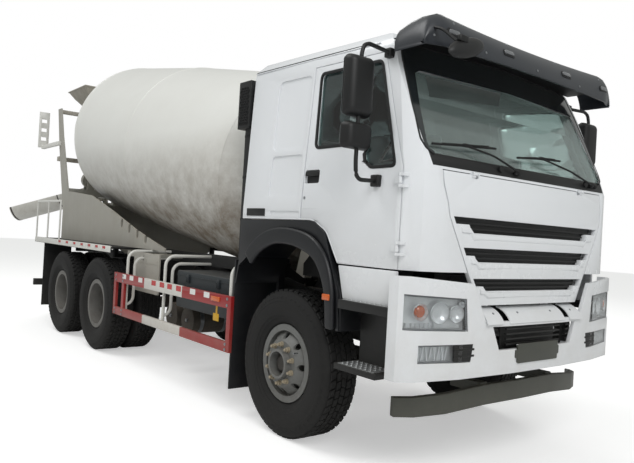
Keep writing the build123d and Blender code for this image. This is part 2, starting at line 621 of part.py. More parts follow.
# Cab shell: hollow, with the door openings, the windscreen opening and the lid's pocket
lug_y = RAIL_OUTER_Y - PIVOT_BRACKET_WIDTH - 5
LUG_WIDTH = 30
lug_outline = [
    (PIVOT_STATION - 95, CAB_FLOOR_Z + 20),
    (PIVOT_STATION - 40, PIVOT_Z + 15),
    (PIVOT_STATION + 15, PIVOT_Z + 40),
    (PIVOT_STATION - 14, PIVOT_Z + 150),
    (PIVOT_STATION - 22, CAB_FLOOR_Z + 20),
]
with BuildPart() as cab_shell:
    add(cab_outer)
    with BuildPart(mode=Mode.PRIVATE) as cavity:
        add(cab_inner)
        with Locations((at(FIREWALL_STATION) + 200, 0, HOOD_TOP_Z - 395)):
            Box(400, 3000, 800, mode=Mode.SUBTRACT)
    add(cavity.part, mode=Mode.SUBTRACT)
    for side in (-1, 1):
        extrude(outline(side_plane(side * (door_inner_y - PANEL_GAP)), stationed(door_outline)),
                amount=-side * (door_depth + PANEL_GAP), mode=Mode.SUBTRACT)
    extrude(outline(cross_plane(at(1000)), mirrored([(-y, z) for y, z in screen_half])),
            amount=450, mode=Mode.SUBTRACT)
    pocket_side = [(x - LID_THICKNESS - LID_POCKET_DEPTH, z) for x, z in lid_side]
    pocket_side[0] = (pocket_side[0][0], HOOD_TOP_Z)
    pocket_side[-1] = (pocket_side[-1][0], CAB_FLOOR_Z - 50)
    pocket_outline = stationed(pocket_side + [(1500, CAB_FLOOR_Z - 50), (1500, HOOD_TOP_Z)])
    with BuildPart(mode=Mode.PRIVATE) as pocket:
        extrude(outline(Plane.XZ, pocket_outline), amount=1000, both=True)
        extrude(outline(cross_plane(at(1000)), mirrored(pocket_half)), amount=600, mode=Mode.INTERSECT)
    add(pocket.part, mode=Mode.SUBTRACT)
    for side in (-1, 1):
        lug_plane = side_plane(side * lug_y)
        extrude(outline(lug_plane, stationed(lug_outline)), amount=side * LUG_WIDTH)
        extrude(disc(lug_plane, pivot_centre, PIVOT_BOSS), amount=side * LUG_WIDTH)
        extrude(disc(lug_plane, pivot_centre, PIVOT_RADIUS + BEARING_GAP), amount=side * LUG_WIDTH,
                mode=Mode.SUBTRACT)
    for side in (-1, 1):
        for level in DOOR_HINGE_LEVELS:
            ear_offset = HINGE_EYE_HALF + HINGE_GAP + HINGE_EAR / 2
            with Locations((at(DOOR_FRONT_STATION), side * DOOR_HINGE_Y, level + ear_offset),
                           (at(DOOR_FRONT_STATION), side * DOOR_HINGE_Y, level - ear_offset)):
                Cylinder(HINGE_EYE_RADIUS, HINGE_EAR)
            with Locations((at(DOOR_FRONT_STATION + 21), side * (DOOR_HINGE_Y - 16), level + ear_offset),
                           (at(DOOR_FRONT_STATION + 21), side * (DOOR_HINGE_Y - 16), level - ear_offset)):
                Box(34, 48, HINGE_EAR)
            with Locations((at(DOOR_FRONT_STATION), side * DOOR_HINGE_Y, level)):
                Cylinder(HINGE_PIN_RADIUS, 2 * ear_offset)
        lid_ear_y = LID_HINGE_Y - HINGE_EYE_HALF - HINGE_GAP
        extrude(disc(side_plane(side * lid_ear_y), lid_hinge_centre, HINGE_EYE_RADIUS), amount=side * HINGE_EAR)
        with Locations((at(LID_HINGE_STATION - 22), side * (lid_ear_y - HINGE_EAR / 2), LID_HINGE_Z + 3)):
            Box(44, HINGE_EAR, 18)
        extrude(disc(side_plane(side * (lid_ear_y - 5)), lid_hinge_centre, HINGE_PIN_RADIUS),
                amount=-side * (2 * HINGE_EYE_HALF + 2 * HINGE_GAP))
save(cab_shell, "cab_shell")

# Windscreen glass and the black cowl panel below it
COWL_TOP_Z = 2082
COWL_DEPTH = 36
with BuildPart() as windscreen:
    add(cab_block(6))
    add(cab_block(6 + GLASS_THICKNESS), mode=Mode.SUBTRACT)
    extrude(drawn_in(cross_plane(at(1000)), mirrored([(-y, z) for y, z in screen_half]), SEAT_GAP),
            amount=450, mode=Mode.INTERSECT)
    with Locations((at(1200), 0, COWL_TOP_Z + SEAT_GAP)):
        Box(800, 3000, 800, align=(Align.CENTER, Align.CENTER, Align.MAX), mode=Mode.SUBTRACT)
save(windscreen, "windscreen")

with BuildPart() as wiper_cowl:
    add(cab_block(1))
    add(cab_block(COWL_DEPTH), mode=Mode.SUBTRACT)
    extrude(drawn_in(cross_plane(at(1000)), mirrored([(-y, z) for y, z in screen_half]), SEAT_GAP),
            amount=450, mode=Mode.INTERSECT)
    with Locations((at(1200), 0, COWL_TOP_Z)):
        Box(800, 3000, 800, align=(Align.CENTER, Align.CENTER, Align.MIN), mode=Mode.SUBTRACT)
save(wiper_cowl, "wiper_cowl")

# Sun visor over the windscreen, a curved plate with end returns, and the front mirror on its arm
VISOR_HALF_WIDTH = 1225
VISOR_PLATE = 18
visor_section = [(1108, 2918), (1190, 2960), (1290, 2935), (1385, 2840), (1420, 2715)]
visor_band = visor_section + [(1401, 2711), (1367, 2829), (1278, 2916), (1190, 2938), (1118, 2898)]
visor_end = visor_section + [(1300, 2700), (1175, 2800)]
FRONT_MIRROR_HALF_WIDTH = 190
FRONT_MIRROR_HALF_HEIGHT = 80
FRONT_MIRROR_DEPTH = 30
FRONT_ARM_RADIUS = 9
front_mirror_plane = Plane((at(1440), -967, 2705), x_dir=(-0.085, 0.937, 0.34), z_dir=(0.97, 0, 0.243))
front_arm_top = Vector(at(1400), -1060, 2760)
front_arm_foot = Vector(at(1450), -1126, 2655)
with BuildPart() as visor:
    extrude(outline(Plane.XZ, stationed(visor_band)), amount=VISOR_HALF_WIDTH, both=True)
    for side in (-1, 1):
        extrude(outline(side_plane(side * (VISOR_HALF_WIDTH - VISOR_PLATE)), stationed(visor_end)),
                amount=-side * VISOR_PLATE)
    add(cab_block(-SEAT_GAP), mode=Mode.SUBTRACT)
    with BuildSketch(front_mirror_plane):
        Ellipse(FRONT_MIRROR_HALF_WIDTH, FRONT_MIRROR_HALF_HEIGHT)
    extrude(amount=FRONT_MIRROR_DEPTH / 2, both=True)
    with BuildSketch(Plane(front_arm_top, z_dir=front_arm_foot - front_arm_top)):
        Circle(FRONT_ARM_RADIUS)
    extrude(amount=(front_arm_foot - front_arm_top).length)
save(visor, "visor")

# Dashboard with the steering wheel, and the two seats
cab_floor_top = CAB_FLOOR_Z + CAB_WALL
dash_side = [(1150, 1500), (880, 1560), (850, 1800), (900, 1960), (1150, 1985)]
wheel_tilt = Plane(origin=(at(700), 560, 1990), z_dir=(-0.5, 0, 0.87))
with BuildPart() as dashboard:
    extrude(outline(Plane.XZ, stationed(dash_side)), amount=1060, both=True)
    with BuildSketch(Plane(origin=wheel_tilt.origin, x_dir=wheel_tilt.x_dir, z_dir=wheel_tilt.y_dir)):
        with Locations((225, 0)):
            Circle(16)
    revolve(axis=Axis(wheel_tilt.origin, wheel_tilt.z_dir))
    with BuildSketch(wheel_tilt.offset(-10)):
        Rectangle(450, 40)
    extrude(amount=20)
    with BuildSketch(wheel_tilt):
        Circle(32)
    extrude(amount=-400)
save(dashboard, "dashboard")

seat_side = [(-60, 1760), (430, 1760), (450, 1850), (430, 1900), (20, 1890), (-90, 2420), (-100, 2560),
             (-190, 2560), (-200, 2420), (-110, 1840)]
with BuildPart() as seats:
    for middle in (-560, 560):
        extrude(outline(side_plane(middle + 240), stationed(seat_side), 30), amount=480)
        with Locations((at(180), middle, (ARCH_TOP_Z + CAB_WALL + 1765) / 2)):
            Box(360, 320, 1765 - ARCH_TOP_Z - CAB_WALL)
save(seats, "seats")

# Front panel: the lid with its grille slots, hinged along its top edge
GRILLE_PLATE = 14
GRILLE_GAP = 0.3
grille_slots = (
    # top, outer bottom, middle bottom, outer half width, middle half width
    (1700, 1655, 1603, 868, 690),
    (1508, 1458, 1418, 762, 625),
    (1312, 1262, 1232, 655, 525),
)


def slot_outline(top, outer_bottom, middle_bottom, outer_half, middle_half):
    """A slot with a deeper middle, its ends leaning with the lid's sides."""
    half = [
        (outer_half, top),
        (outer_half - (top - outer_bottom) * 0.55, outer_bottom),
        (middle_half + 30, outer_bottom),
        (middle_half, middle_bottom),
    ]
    return half + [(-y, z) for y, z in reversed(half)]


def lid_block(front_setback, thickness):
    """A layer of the lid, set back from its front face."""
    front = [(x - front_setback, z) for x, z in lid_side]
    back = [(x - thickness, z) for x, z in reversed(front)]
    with BuildPart() as layer:
        extrude(outline(Plane.XZ, stationed(front + back)), amount=1000, both=True)
        extrude(drawn_in(level_plane(1000), cab_plan_outline, front_setback), amount=1100, mode=Mode.INTERSECT)
    return layer.part


lid_skin = LID_THICKNESS - GRILLE_PLATE - GRILLE_GAP
with BuildPart() as front_panel:
    add(lid_block(0, lid_skin))
    extrude(outline(cross_plane(at(1100)), mirrored([(-y, z) for y, z in lid_half])), amount=400,
            mode=Mode.INTERSECT)
    for slot in grille_slots:
        extrude(outline(cross_plane(at(1100)), slot_outline(*slot)), amount=400, mode=Mode.SUBTRACT)
    for side in (-1, 1):
        notch_y = LID_HINGE_Y - HINGE_EYE_HALF - HINGE_GAP - HINGE_EAR / 2
        with Locations((at(LID_HINGE_STATION - 32), side * notch_y, LID_HINGE_Z - 10)):
            Box(110, HINGE_EAR + 2 * HINGE_GAP, 40, mode=Mode.SUBTRACT)
        with Locations((at(LID_HINGE_STATION - 14), side * LID_HINGE_Y, LID_HINGE_Z - 12)):
            Box(28, 2 * HINGE_EYE_HALF, 24)
        eye_plane = side_plane(side * LID_HINGE_Y)
        extrude(disc(eye_plane, lid_hinge_centre, HINGE_EYE_RADIUS), amount=HINGE_EYE_HALF, both=True)
        extrude(disc(eye_plane, lid_hinge_centre, HINGE_PIN_RADIUS + BEARING_GAP), amount=HINGE_EYE_HALF,
                both=True, mode=Mode.SUBTRACT)
save(front_panel, "front_panel")

with BuildPart() as grille_backing:
    add(lid_block(lid_skin + GRILLE_GAP, GRILLE_PLATE))
    extrude(outline(cross_plane(at(1100)), [(-870, 1730), (-575, 1190), (575, 1190), (870, 1730)]),
            amount=400, mode=Mode.INTERSECT)
save(grille_backing, "grille_backing")

# Doors, each a piece of the cab's wall with its window cut, glass and black fittings
MIRROR_X = 940
MIRROR_Y = 1370
mirror_sizes = (
    # middle height, height, width across, depth along the truck
    (2468, 400, 235, 95),
    (2160, 170, 235, 95),
)
POST_RADIUS = 14
ARM_RADIUS = 11
MIRROR_ARM_LEVELS = (2620, 1900)
for side, side_name in SIDES:
    with BuildPart() as door:
        add(cab_outer)
        add(cab_inner, mode=Mode.SUBTRACT)
        door_points = [
            (DOOR_REAR_STATION + DOOR_SHUT_GAP, CAB_FLOOR_Z - 100),
            (DOOR_REAR_STATION + DOOR_SHUT_GAP, DOOR_TOP_Z - PANEL_GAP),
            (DOOR_FRONT_STATION - 70 - PANEL_GAP, DOOR_TOP_Z - PANEL_GAP),
            (DOOR_FRONT_STATION - PANEL_GAP, 2000),
            (DOOR_FRONT_STATION - PANEL_GAP, CAB_FLOOR_Z - 100),
        ]
        extrude(outline(side_plane(side * door_inner_y), stationed(door_points)),
                amount=-side * door_depth, mode=Mode.INTERSECT)
        extrude(outline(side_plane(side * door_inner_y), stationed(window_outline), 45),
                amount=-side * door_depth, mode=Mode.SUBTRACT)
        for level in DOOR_HINGE_LEVELS:
            with Locations((at(DOOR_FRONT_STATION - 22), side * (DOOR_HINGE_Y - 16), level)):
                Box(44, 44, 2 * HINGE_EYE_HALF)
            with Locations((at(DOOR_FRONT_STATION), side * DOOR_HINGE_Y, level)):
                Cylinder(HINGE_EYE_RADIUS, 2 * HINGE_EYE_HALF)
                Cylinder(HINGE_PIN_RADIUS + BEARING_GAP, 2 * HINGE_EYE_HALF, mode=Mode.SUBTRACT)
    save(door, f"door_{side_name}")
    with BuildPart() as door_glass:
        add(cab_block(18))
        add(cab_block(18 + GLASS_THICKNESS), mode=Mode.SUBTRACT)
        extrude(drawn_in(side_plane(side * door_inner_y), stationed(window_outline), SEAT_GAP, 45),
                amount=-side * door_depth, mode=Mode.INTERSECT)
    save(door_glass, f"door_glass_{side_name}")
    with BuildPart() as door_fittings:
        for middle, height, width, depth in mirror_sizes:
            with Locations((at(MIRROR_X), side * MIRROR_Y, middle)):
                Box(depth, width, height)
        with Locations((at(MIRROR_X), side * MIRROR_Y, 2260)):
            Cylinder(POST_RADIUS, 760)
        for height in MIRROR_ARM_LEVELS:
            extrude(disc(side_plane(side * 1110), (at(MIRROR_X), height), ARM_RADIUS),
                    amount=-side * (MIRROR_Y - 1110))
        add(cab_block(-SEAT_GAP), mode=Mode.SUBTRACT)
    save(door_fittings, f"door_fittings_{side_name}")

# Front bumper: a bowed wall with lamp openings, on brackets from the rails
BUMPER_WALL = 28
BUMPER_TOP_Z = 1038
BUMPER_BOTTOM_Z = 690
bumper_plan_half = [(1170, 1245), (1250, 1245), (1310, 1150), (1375, 800), (1405, 300), (1405, 0)]
bumper_inner_half = [(1170, 1217), (1236, 1217), (1284, 1138), (1347, 795), (1377, 298), (1377, 0)]
bumper_front_half = [(0, BUMPER_BOTTOM_Z), (1245, BUMPER_BOTTOM_Z), (1245, 1320), (1170, 1320), (720, 1285),
                     (698, 1285), (606, 1100), (570, BUMPER_TOP_Z), (0, BUMPER_TOP_Z)]
intake_half = [(0, 850), (430, 850), (500, 1005), (0, 1005)]
headlamp = [(735, 985), (1215, 1000), (1215, 1215), (760, 1190)]
fog_lamp = [(700, 790), (1120, 800), (1120, 910), (680, 905)]


def bumper_ring(outer_half, inner_half):
    """A band in plan view between two half outlines, mirrored to both sides."""
    outer = [(at(x), -y) for x, y in outer_half] + [(at(x), y) for x, y in outer_half[-2::-1]]
    inner = [(at(x), y) for x, y in inner_half] + [(at(x), -y) for x, y in inner_half[-2::-1]]
    return outline(level_plane(600), outer + inner)


with BuildPart() as bumper:
    extrude(bumper_ring(bumper_plan_half, bumper_inner_half), amount=800)
    extrude(outline(cross_plane(at(1000)), mirrored(bumper_front_half)), amount=500, mode=Mode.INTERSECT)
    extrude(outline(cross_plane(at(1000)), mirrored(intake_half)), amount=500, mode=Mode.SUBTRACT)
    for lamp in (headlamp, fog_lamp):
        for side in (-1, 1):
            extrude(outline(cross_plane(at(1000)), [(side * y, z) for y, z in lamp]), amount=500,
                    mode=Mode.SUBTRACT)
    for side in (-1, 1):
        with Locations((at(1165), side * (RAIL_OUTER_Y + SEAT_GAP + 10), 810)):
            Box(430, 20, 80)
    with Locations((at(1407), 0, 817)):
        Box(12, 520, 60)
        Box(12, 480, 125)
save(bumper, "bumper")

lamp_outer_half = [(x - 5, y - 5) for x, y in bumper_plan_half]
lamp_inner_half = [(x - 24, y - 24) for x, y in bumper_plan_half]
with BuildPart() as lamps:
    for side in (-1, 1):
        for lamp in (headlamp, fog_lamp):
            with BuildPart(mode=Mode.PRIVATE) as one_lamp:
                half = [(at(x), side * y) for x, y in lamp_outer_half[:-1]]
                half += [(at(x), side * y) for x, y in reversed(lamp_inner_half[:-1])]
                extrude(outline(level_plane(600), half), amount=800)
                lamp_points = [(side * y, z) for y, z in lamp]
                extrude(drawn_in(cross_plane(at(1000)), lamp_points, SEAT_GAP), amount=500,
                        mode=Mode.INTERSECT)
            add(one_lamp.part)
save(lamps, "front_lamps")

# Underrun bar below the bumper
underrun_plan = [(1300, 0), (1292, 400), (1245, 750), (1160, 950), (1070, 1045)]
underrun_front_half = [(0, 465), (400, 465), (1045, 410), (1045, 535), (400, 600), (0, 600)]
with BuildPart() as underrun_bar:
    extrude(bumper_ring(underrun_plan[::-1], [(x - 42, max(y - 12, 0)) for x, y in underrun_plan[::-1]]),
            amount=-300)
    extrude(outline(cross_plane(at(900)), mirrored(underrun_front_half)), amount=500, mode=Mode.INTERSECT)
    for side in (-1, 1):
        with Locations((at(1060), side * 390, (540 + RAIL_BOTTOM_Z - SEAT_GAP) / 2)):
            Box(100, 80, RAIL_BOTTOM_Z - SEAT_GAP - 540)
        with Locations((at(1160), side * 390, 575)):
            Box(210, 80, 70)
save(underrun_bar, "underrun_bar")

# Cab steps on both sides, with the white strips above them
STEP_INNER_Y = 1000
STEP_OUTER_Y = 1230
upper_step = (687, 1165, 1060, 1120)
lower_step = (681, 1073, 660, 700)
with BuildPart() as steps:
    for side in (-1, 1):
        for rear, front, bottom, top in (upper_step, lower_step):
            with Locations((at((rear + front) / 2), side * (STEP_INNER_Y + STEP_OUTER_Y) / 2, (bottom + top) / 2)):
                Box(front - rear, STEP_OUTER_Y - STEP_INNER_Y, top - bottom)
        with Locations((at(880), side * (STEP_INNER_Y + 12), 890)):
            Box(360, 24, 460)
        extrude(disc(side_plane(side * (RAIL_OUTER_Y + SEAT_GAP)), (at(900), 905), 40),
                amount=-side * (STEP_INNER_Y + 12 - RAIL_OUTER_Y))
save(steps, "steps")

strip_outline = [(612, 1340), (675, upper_step[3] + SEAT_GAP), (1152, upper_step[3] + SEAT_GAP), (1152, 1340)]
with BuildPart() as step_fairings:
    for side in (-1, 1):
        extrude(outline(side_plane(side * 1150), stationed(strip_outline)), amount=-side * 30)
save(step_fairings, "step_fairings")

# Front mudguards: liner, outer flare and mudflap
liner_path = [(-690, 1100), (-640, 1330), (-430, 1500), (-100, 1580), (330, 1560), (520, 1400), (660, 1150),
              (680, 900)]
liner_inner = [(662, 900), (643, 1145), (505, 1388), (322, 1541), (-98, 1561), (-422, 1481), (-624, 1320),
               (-672, 1100)]
flare_outline = [(-625, 1632), (335, 1632), (462, 1556), (640, 1150), (668, 900), (640, 900), (600, 1130),
                 (450, 1370), (200, 1520), (-100, 1540), (-400, 1400), (-625, 1250)]
with BuildPart() as front_mudguards:
    extrude(outline(side_plane(-700), stationed(liner_path + liner_inner)), amount=484)
    extrude(outline(side_plane(-1165), stationed(flare_outline)), amount=65)
    with Locations((at(-697), -1017, 750)):
        Box(15, 334, 1080)
    with Locations((at(-665), -595, 1025)):
        Box(50, 330, 50)
    with Locations((at(-672), -730, 1165)):
        Box(36, 60, 330)
    with Locations((at(672), -570, 925)):
        Box(36, 279, 40)
    mirror(about=Plane.XZ)
save(front_mudguards, "front_mudguards")

# Rear mudguards: a flat cover over the twin wheels with a lip and a mudflap
GUARD_FRONT_STATION = -3450
GUARD_REAR_STATION = -6600
guard_length = GUARD_FRONT_STATION - GUARD_REAR_STATION
guard_middle = at((GUARD_FRONT_STATION + GUARD_REAR_STATION) / 2)
with BuildPart() as rear_mudguards:
    with Locations((guard_middle, -950, 1250)):
        Box(guard_length, 500, 20)
    with Locations((guard_middle, -1200, 1230)):
        Box(guard_length, 20, 80)
    with Locations((at(-6152), -990, 752)):
        Box(15, 400, 990)
    for station in (-4500, -6020):
        with Locations((at(station), -595.15, 1110)):
            Box(60, 329.7, 50)
        with Locations((at(station), -730, 1165)):
            Box(60, 60, 160)
    mirror(about=Plane.XZ)
save(rear_mudguards, "rear_mudguards")

# Rear lamp bar under the chute
with BuildPart() as rear_lamp_bar:
    with Locations((at(-6770), 0, 550)):
        Box(60, 2300, 100)
    for side in (-1, 1):
        with Locations((at(-6560), side * (RAIL_OUTER_Y + SEAT_GAP + 10), 690)):
            Box(460, 20, 380)
        for middle in (-1020, -860, 860, 1020):
            with Locations((at(-6806), middle, 550)):
                Box(14, 140, 84)
save(rear_lamp_bar, "rear_lamp_bar")

# Side guards: two bars and end posts on each side, carried by nested hoops
HOOP_STATIONS = (-2980, -2030, -755)
HOOP_TUBE = 32
with BuildPart() as side_guards:
    for bottom, top in ((880, 984), (515, 600)):
        with Locations((at(-1955), -1205, (bottom + top) / 2)):
            Box(2570, 30, top - bottom)
    for station in (-3210, -2980, -700):
        with Locations((at(station), -1205, 750)):
            Box(60, 30, 470)
    mirror(about=Plane.XZ)
save(side_guards, "side_guards")

hoop_outer = [(SIDE_BEAM_OUTER_Y + SEAT_GAP, 1259), (1105, 1259), (1163, 1235), (1189.7, 1177), (1189.7, 515),
              (1157.7, 515), (1157.7, 1170), (1142, 1210), (1098, 1227), (SIDE_BEAM_OUTER_Y + SEAT_GAP, 1227)]
hoop_inner = [(SIDE_BEAM_OUTER_Y + SEAT_GAP, 1181), (1025, 1181), (1083, 1157), (1110, 1099), (1110, 660),
              (1175, 660), (1175, 628), (1078, 628), (1078, 1092), (1062, 1132), (1018, 1149),
              (SIDE_BEAM_OUTER_Y + SEAT_GAP, 1149)]
with BuildPart() as guard_hoops:
    for station in HOOP_STATIONS:
        for band in (hoop_outer, hoop_inner):
            extrude(outline(cross_plane(at(station) - HOOP_TUBE / 2), [(-y, z) for y, z in band]),
                    amount=HOOP_TUBE)
    mirror(about=Plane.XZ)
save(guard_hoops, "guard_hoops")

# Side skirts ahead of the twin wheels, on brackets from the side beams
SKIRT_INNER_Y = 980
SKIRT_PLATE = 20
SKIRT_TOP_Z = 1225
SKIRT_LOW_REAR_STATION = -3235
skirt_outline = [(-3440, SKIRT_TOP_Z), (-3440, 1165), (SKIRT_LOW_REAR_STATION, 1165),
                 (SKIRT_LOW_REAR_STATION, 785), (-2560, 785), (-2560, SKIRT_TOP_Z)]
with BuildPart() as side_skirts:
    extrude(outline(side_plane(-SKIRT_INNER_Y), stationed(skirt_outline)), amount=SKIRT_PLATE)
    bracket_reach = SKIRT_INNER_Y + 10 - SIDE_BEAM_OUTER_Y - SEAT_GAP
    for station in (-3100, -2700):
        with Locations((at(station), -(SKIRT_INNER_Y + 10 - bracket_reach / 2), SKIRT_TOP_Z - 20)):
            Box(60, bracket_reach, 40)
    with Locations((at(HOOP_STATIONS[0]), -SKIRT_INNER_Y - SKIRT_PLATE / 2, 1165)):
        Box(HOOP_TUBE + 12, 3 * SKIRT_PLATE, HOOP_TUBE + 12, mode=Mode.SUBTRACT)
    mirror(about=Plane.XZ)
save(side_skirts, "side_skirts")

# Battery box and air tanks on the right, fuel tank on the left
with BuildPart() as battery_box:
    with Locations((at(-1410), -815, 930)):
        Box(1080, 530, 360)
    for station in (-1700, -1120):
        with Locations((at(station), -495.15, 860)):
            Box(80, 129.7, 120)
save(battery_box, "battery_box")

with BuildPart() as air_tanks:
    for station in (-2330, -1970):
        extrude(disc(side_plane(-460), (at(station), 600), 135), amount=470)
        with Locations((at(station), -430, (650 + RAIL_BOTTOM_Z - SEAT_GAP) / 2)):
            Box(80, 100, RAIL_BOTTOM_Z - SEAT_GAP - 650)
save(air_tanks, "air_tanks")

with BuildPart() as fuel_tank:
    tank_outline = [(500, 520), (1050, 520), (1050, 1120), (500, 1120)]
    extrude(outline(cross_plane(at(-2530)), tank_outline, 90), amount=1330)
    for station in (-2250, -1500):
        with Locations((at(station), 475.15, 850)):
            Box(80, 89.7, 300)
save(fuel_tank, "fuel_tank")

# Air intake behind the cab
with BuildPart() as air_intake:
    with Locations((at(-755), -1075, 2600)):
        Box(180, 150, 400)
    with Locations((at(-755), -1070, 1850)):
        Box(80, 60, 1120)
    with Locations((at(-755), -850, 1290)):
        Box(80, 490, 2 * (20 - SEAT_GAP))
save(air_intake, "air_intake")

# Drum: a hollow shell of revolution about its tilted axis, with its running ring
axis_rearward = Vector(-cos(radians(DRUM_TILT)), 0, sin(radians(DRUM_TILT)))
axis_upward = Vector(sin(radians(DRUM_TILT)), 0, cos(radians(DRUM_TILT)))
drum_origin = Vector(at(DRUM_FRONT_STATION), 0, DRUM_FRONT_Z)
drum_plane = Plane(origin=drum_origin, x_dir=axis_rearward, z_dir=(0, 1, 0))
drum_axis = Axis(drum_origin, axis_rearward)
drum_outer = [(60, 0), (60, 240), (0, 330), (0, 800), (380, 1030), (2600, 1085), (4550, 1070), (5800, 580)]
drum_inner = [(5795, 567), (4545, 1057), (2600, 1073), (386, 1018), (14, 793), (14, 338), (74, 246), (74, 0)]
ring_front = DRUM_RING_S - DRUM_RING_WIDTH / 2
ring_rear = DRUM_RING_S + DRUM_RING_WIDTH / 2
with BuildPart() as drum:
    revolve(outline(drum_plane, drum_outer + drum_inner), axis=drum_axis)
    revolve(outline(drum_plane, [(ring_front, 756), (ring_front, DRUM_RING_RADIUS),
                                 (ring_rear, DRUM_RING_RADIUS), (ring_rear, 721)]), axis=drum_axis)
save(drum, "drum")

# Front stand with the drum's reducer
FRONT_STAND_FRONT = -720
FRONT_STAND_REAR = -860
stand_foot_z = SUBFRAME_TOP_Z + SEAT_GAP
front_stand_outline = [(-RAIL_OUTER_Y, stand_foot_z), (-RAIL_INNER_Y, stand_foot_z), (-250, 1500), (250, 1500),
                       (RAIL_INNER_Y, stand_foot_z), (RAIL_OUTER_Y, stand_foot_z), (240, 2060), (-240, 2060)]
with BuildPart() as drum_front_stand:
    extrude(outline(cross_plane(at(FRONT_STAND_REAR)), front_stand_outline),
            amount=FRONT_STAND_FRONT - FRONT_STAND_REAR)
    extrude(disc(cross_plane(at(FRONT_STAND_REAR)), (0, 2060), 240), amount=FRONT_STAND_FRONT - FRONT_STAND_REAR)
    revolve(outline(drum_plane, [(-260, 0), (-260, 150), (-180, 190), (40, 190), (60 - BEARING_GAP, 180),
                                 (60 - BEARING_GAP, 0)]), axis=drum_axis)
save(drum_front_stand, "drum_front_stand")

# Rear stand: side plates with oval holes, bulkheads, masts, rollers and the chute's arm
PLATE_FOOT_Z = 1260 + SEAT_GAP
side_plate_outline = [
    (-6330, PLATE_FOOT_Z),
    (-6330, 1700),
    (-6690, 2700),
    (-6860, 3330),
    (-6700, 3330),
    (-6540, 2880),
    (-6130, 1990),
    (-5900, 1975),
    (-5085, 1912),
    (-4300, 1712),
    (-3535, 1495),
    (-3000, 1365),
    (-2654, 1290),
    (-2654, PLATE_FOOT_Z),
]
oval_holes = ((-3920, 1545), (-3672, 1482), (-3425, 1425), (-3178, 1375))
bulkheads = (
    # station, height at the middle
    (-4500, 1535),
    (-5800, 1800),
)
ring_centre = drum_origin + axis_rearward * DRUM_RING_S
roller_reach = DRUM_RING_RADIUS + ROLLER_RADIUS + BEARING_GAP
ARM_TOP_Z = 1840
SWIVEL_PIN_RADIUS = 40
with BuildPart() as drum_rear_stand:
    extrude(outline(side_plane(-STAND_Y + STAND_PLATE), stationed(side_plate_outline)), amount=STAND_PLATE)
    for station, height in oval_holes:
        with BuildSketch(side_plane(-STAND_Y)):
            with Locations((at(station), height)):
                SlotOverall(110, 62, rotation=90)
        extrude(amount=60, both=True, mode=Mode.SUBTRACT)
    mirror(about=Plane.XZ)
    for station, height in bulkheads:
        bulkhead_half = [(0, stand_foot_z), (600, stand_foot_z), (690, 1200), (690, PLATE_FOOT_Z),
                         (STAND_Y - 10, PLATE_FOOT_Z), (STAND_Y - 10, height + 40), (0, height)]
        extrude(outline(cross_plane(at(station) - 12), mirrored(bulkhead_half)), amount=24)
    with Locations((at(-6240), 0, 1990)):
        Box(160, 2 * (STAND_Y - 10), 100)
    with Locations((at(-6400), 0, 1990)):
        Box(200, 1200, 100)
    for side in (-1, 1):
        angle = radians(ROLLER_ANGLE)
        roller_centre = ring_centre - axis_upward * (roller_reach * cos(angle)) + Vector(
            0, side * roller_reach * sin(angle), 0)
        roller_plane = Plane(origin=roller_centre, x_dir=(0, 1, 0), z_dir=axis_rearward)
        with Locations(roller_plane):
            Cylinder(ROLLER_RADIUS, DRUM_RING_WIDTH)
            Cylinder(30, 190)
            with Locations((0, 60, 78), (0, 60, -78)):
                Box(110, 220, 24)
    for side in (-1, 1):
        with Locations((at(-6400), side * 390, (stand_foot_z + 1960) / 2)):
            Box(80, 80, 1960 - stand_foot_z)
    with Locations((at(-6720), 0, ARM_TOP_Z - 45)):
        Box(600, 160, 90)
    with Locations((at(-6400), 0, 1890)):
        Box(100, 200, 190)
    with Locations((at(CHUTE_PIVOT_STATION), 0, ARM_TOP_Z - 45)):
        Cylinder(90, 90)
    with Locations((at(CHUTE_PIVOT_STATION), 0, ARM_TOP_Z - 10)):
        Cylinder(SWIVEL_PIN_RADIUS, 80, align=(Align.CENTER, Align.CENTER, Align.MIN))
save(drum_rear_stand, "drum_rear_stand")

# Charging hopper with its spout into the drum's mouth
hopper_levels = (
    # height, rear station, front station, half width
    (3745, -7400, -6540, 600),
    (3620, -7330, -6660, 500),
    (3330, -7090, -6810, 220),
    (3060, -6640, -6440, 150),
)
HOPPER_WALL = 10


def level_rectangle(height, rear, front, half_width, wall=0):
    """A rectangle on a level plane, drawn in by a wall."""
    with BuildSketch(level_plane(height)) as sketch:
        with Locations((at((rear + front) / 2), 0)):
            Rectangle(front - rear - 2 * wall, 2 * half_width - 2 * wall)
    return sketch.sketch


def tapered_box(levels, wall=0):
    """Sloping walls between level rectangles, stacked downwards."""
    with BuildPart() as stack:
        for upper, lower in zip(levels[:-1], levels[1:]):
            loft([level_rectangle(*upper, wall).face(), level_rectangle(*lower, wall).face()], ruled=True)
    return stack.part


with BuildPart() as hopper:
    add(tapered_box(hopper_levels))
    add(tapered_box(hopper_levels, HOPPER_WALL), mode=Mode.SUBTRACT)
    for side in (-1, 1):
        with Locations((at(-6800), side * 550, 3290)):
            Box(60, 2 * (STAND_Y - STAND_PLATE - SEAT_GAP - 550), 60)
        with Locations((at(-6900), side * 285, 3305)):
            Box(260, 130, 90)
    with Locations((at(-6900), 0, 3310)):
        Box(240, 380, 400, mode=Mode.SUBTRACT)
save(hopper, "hopper")

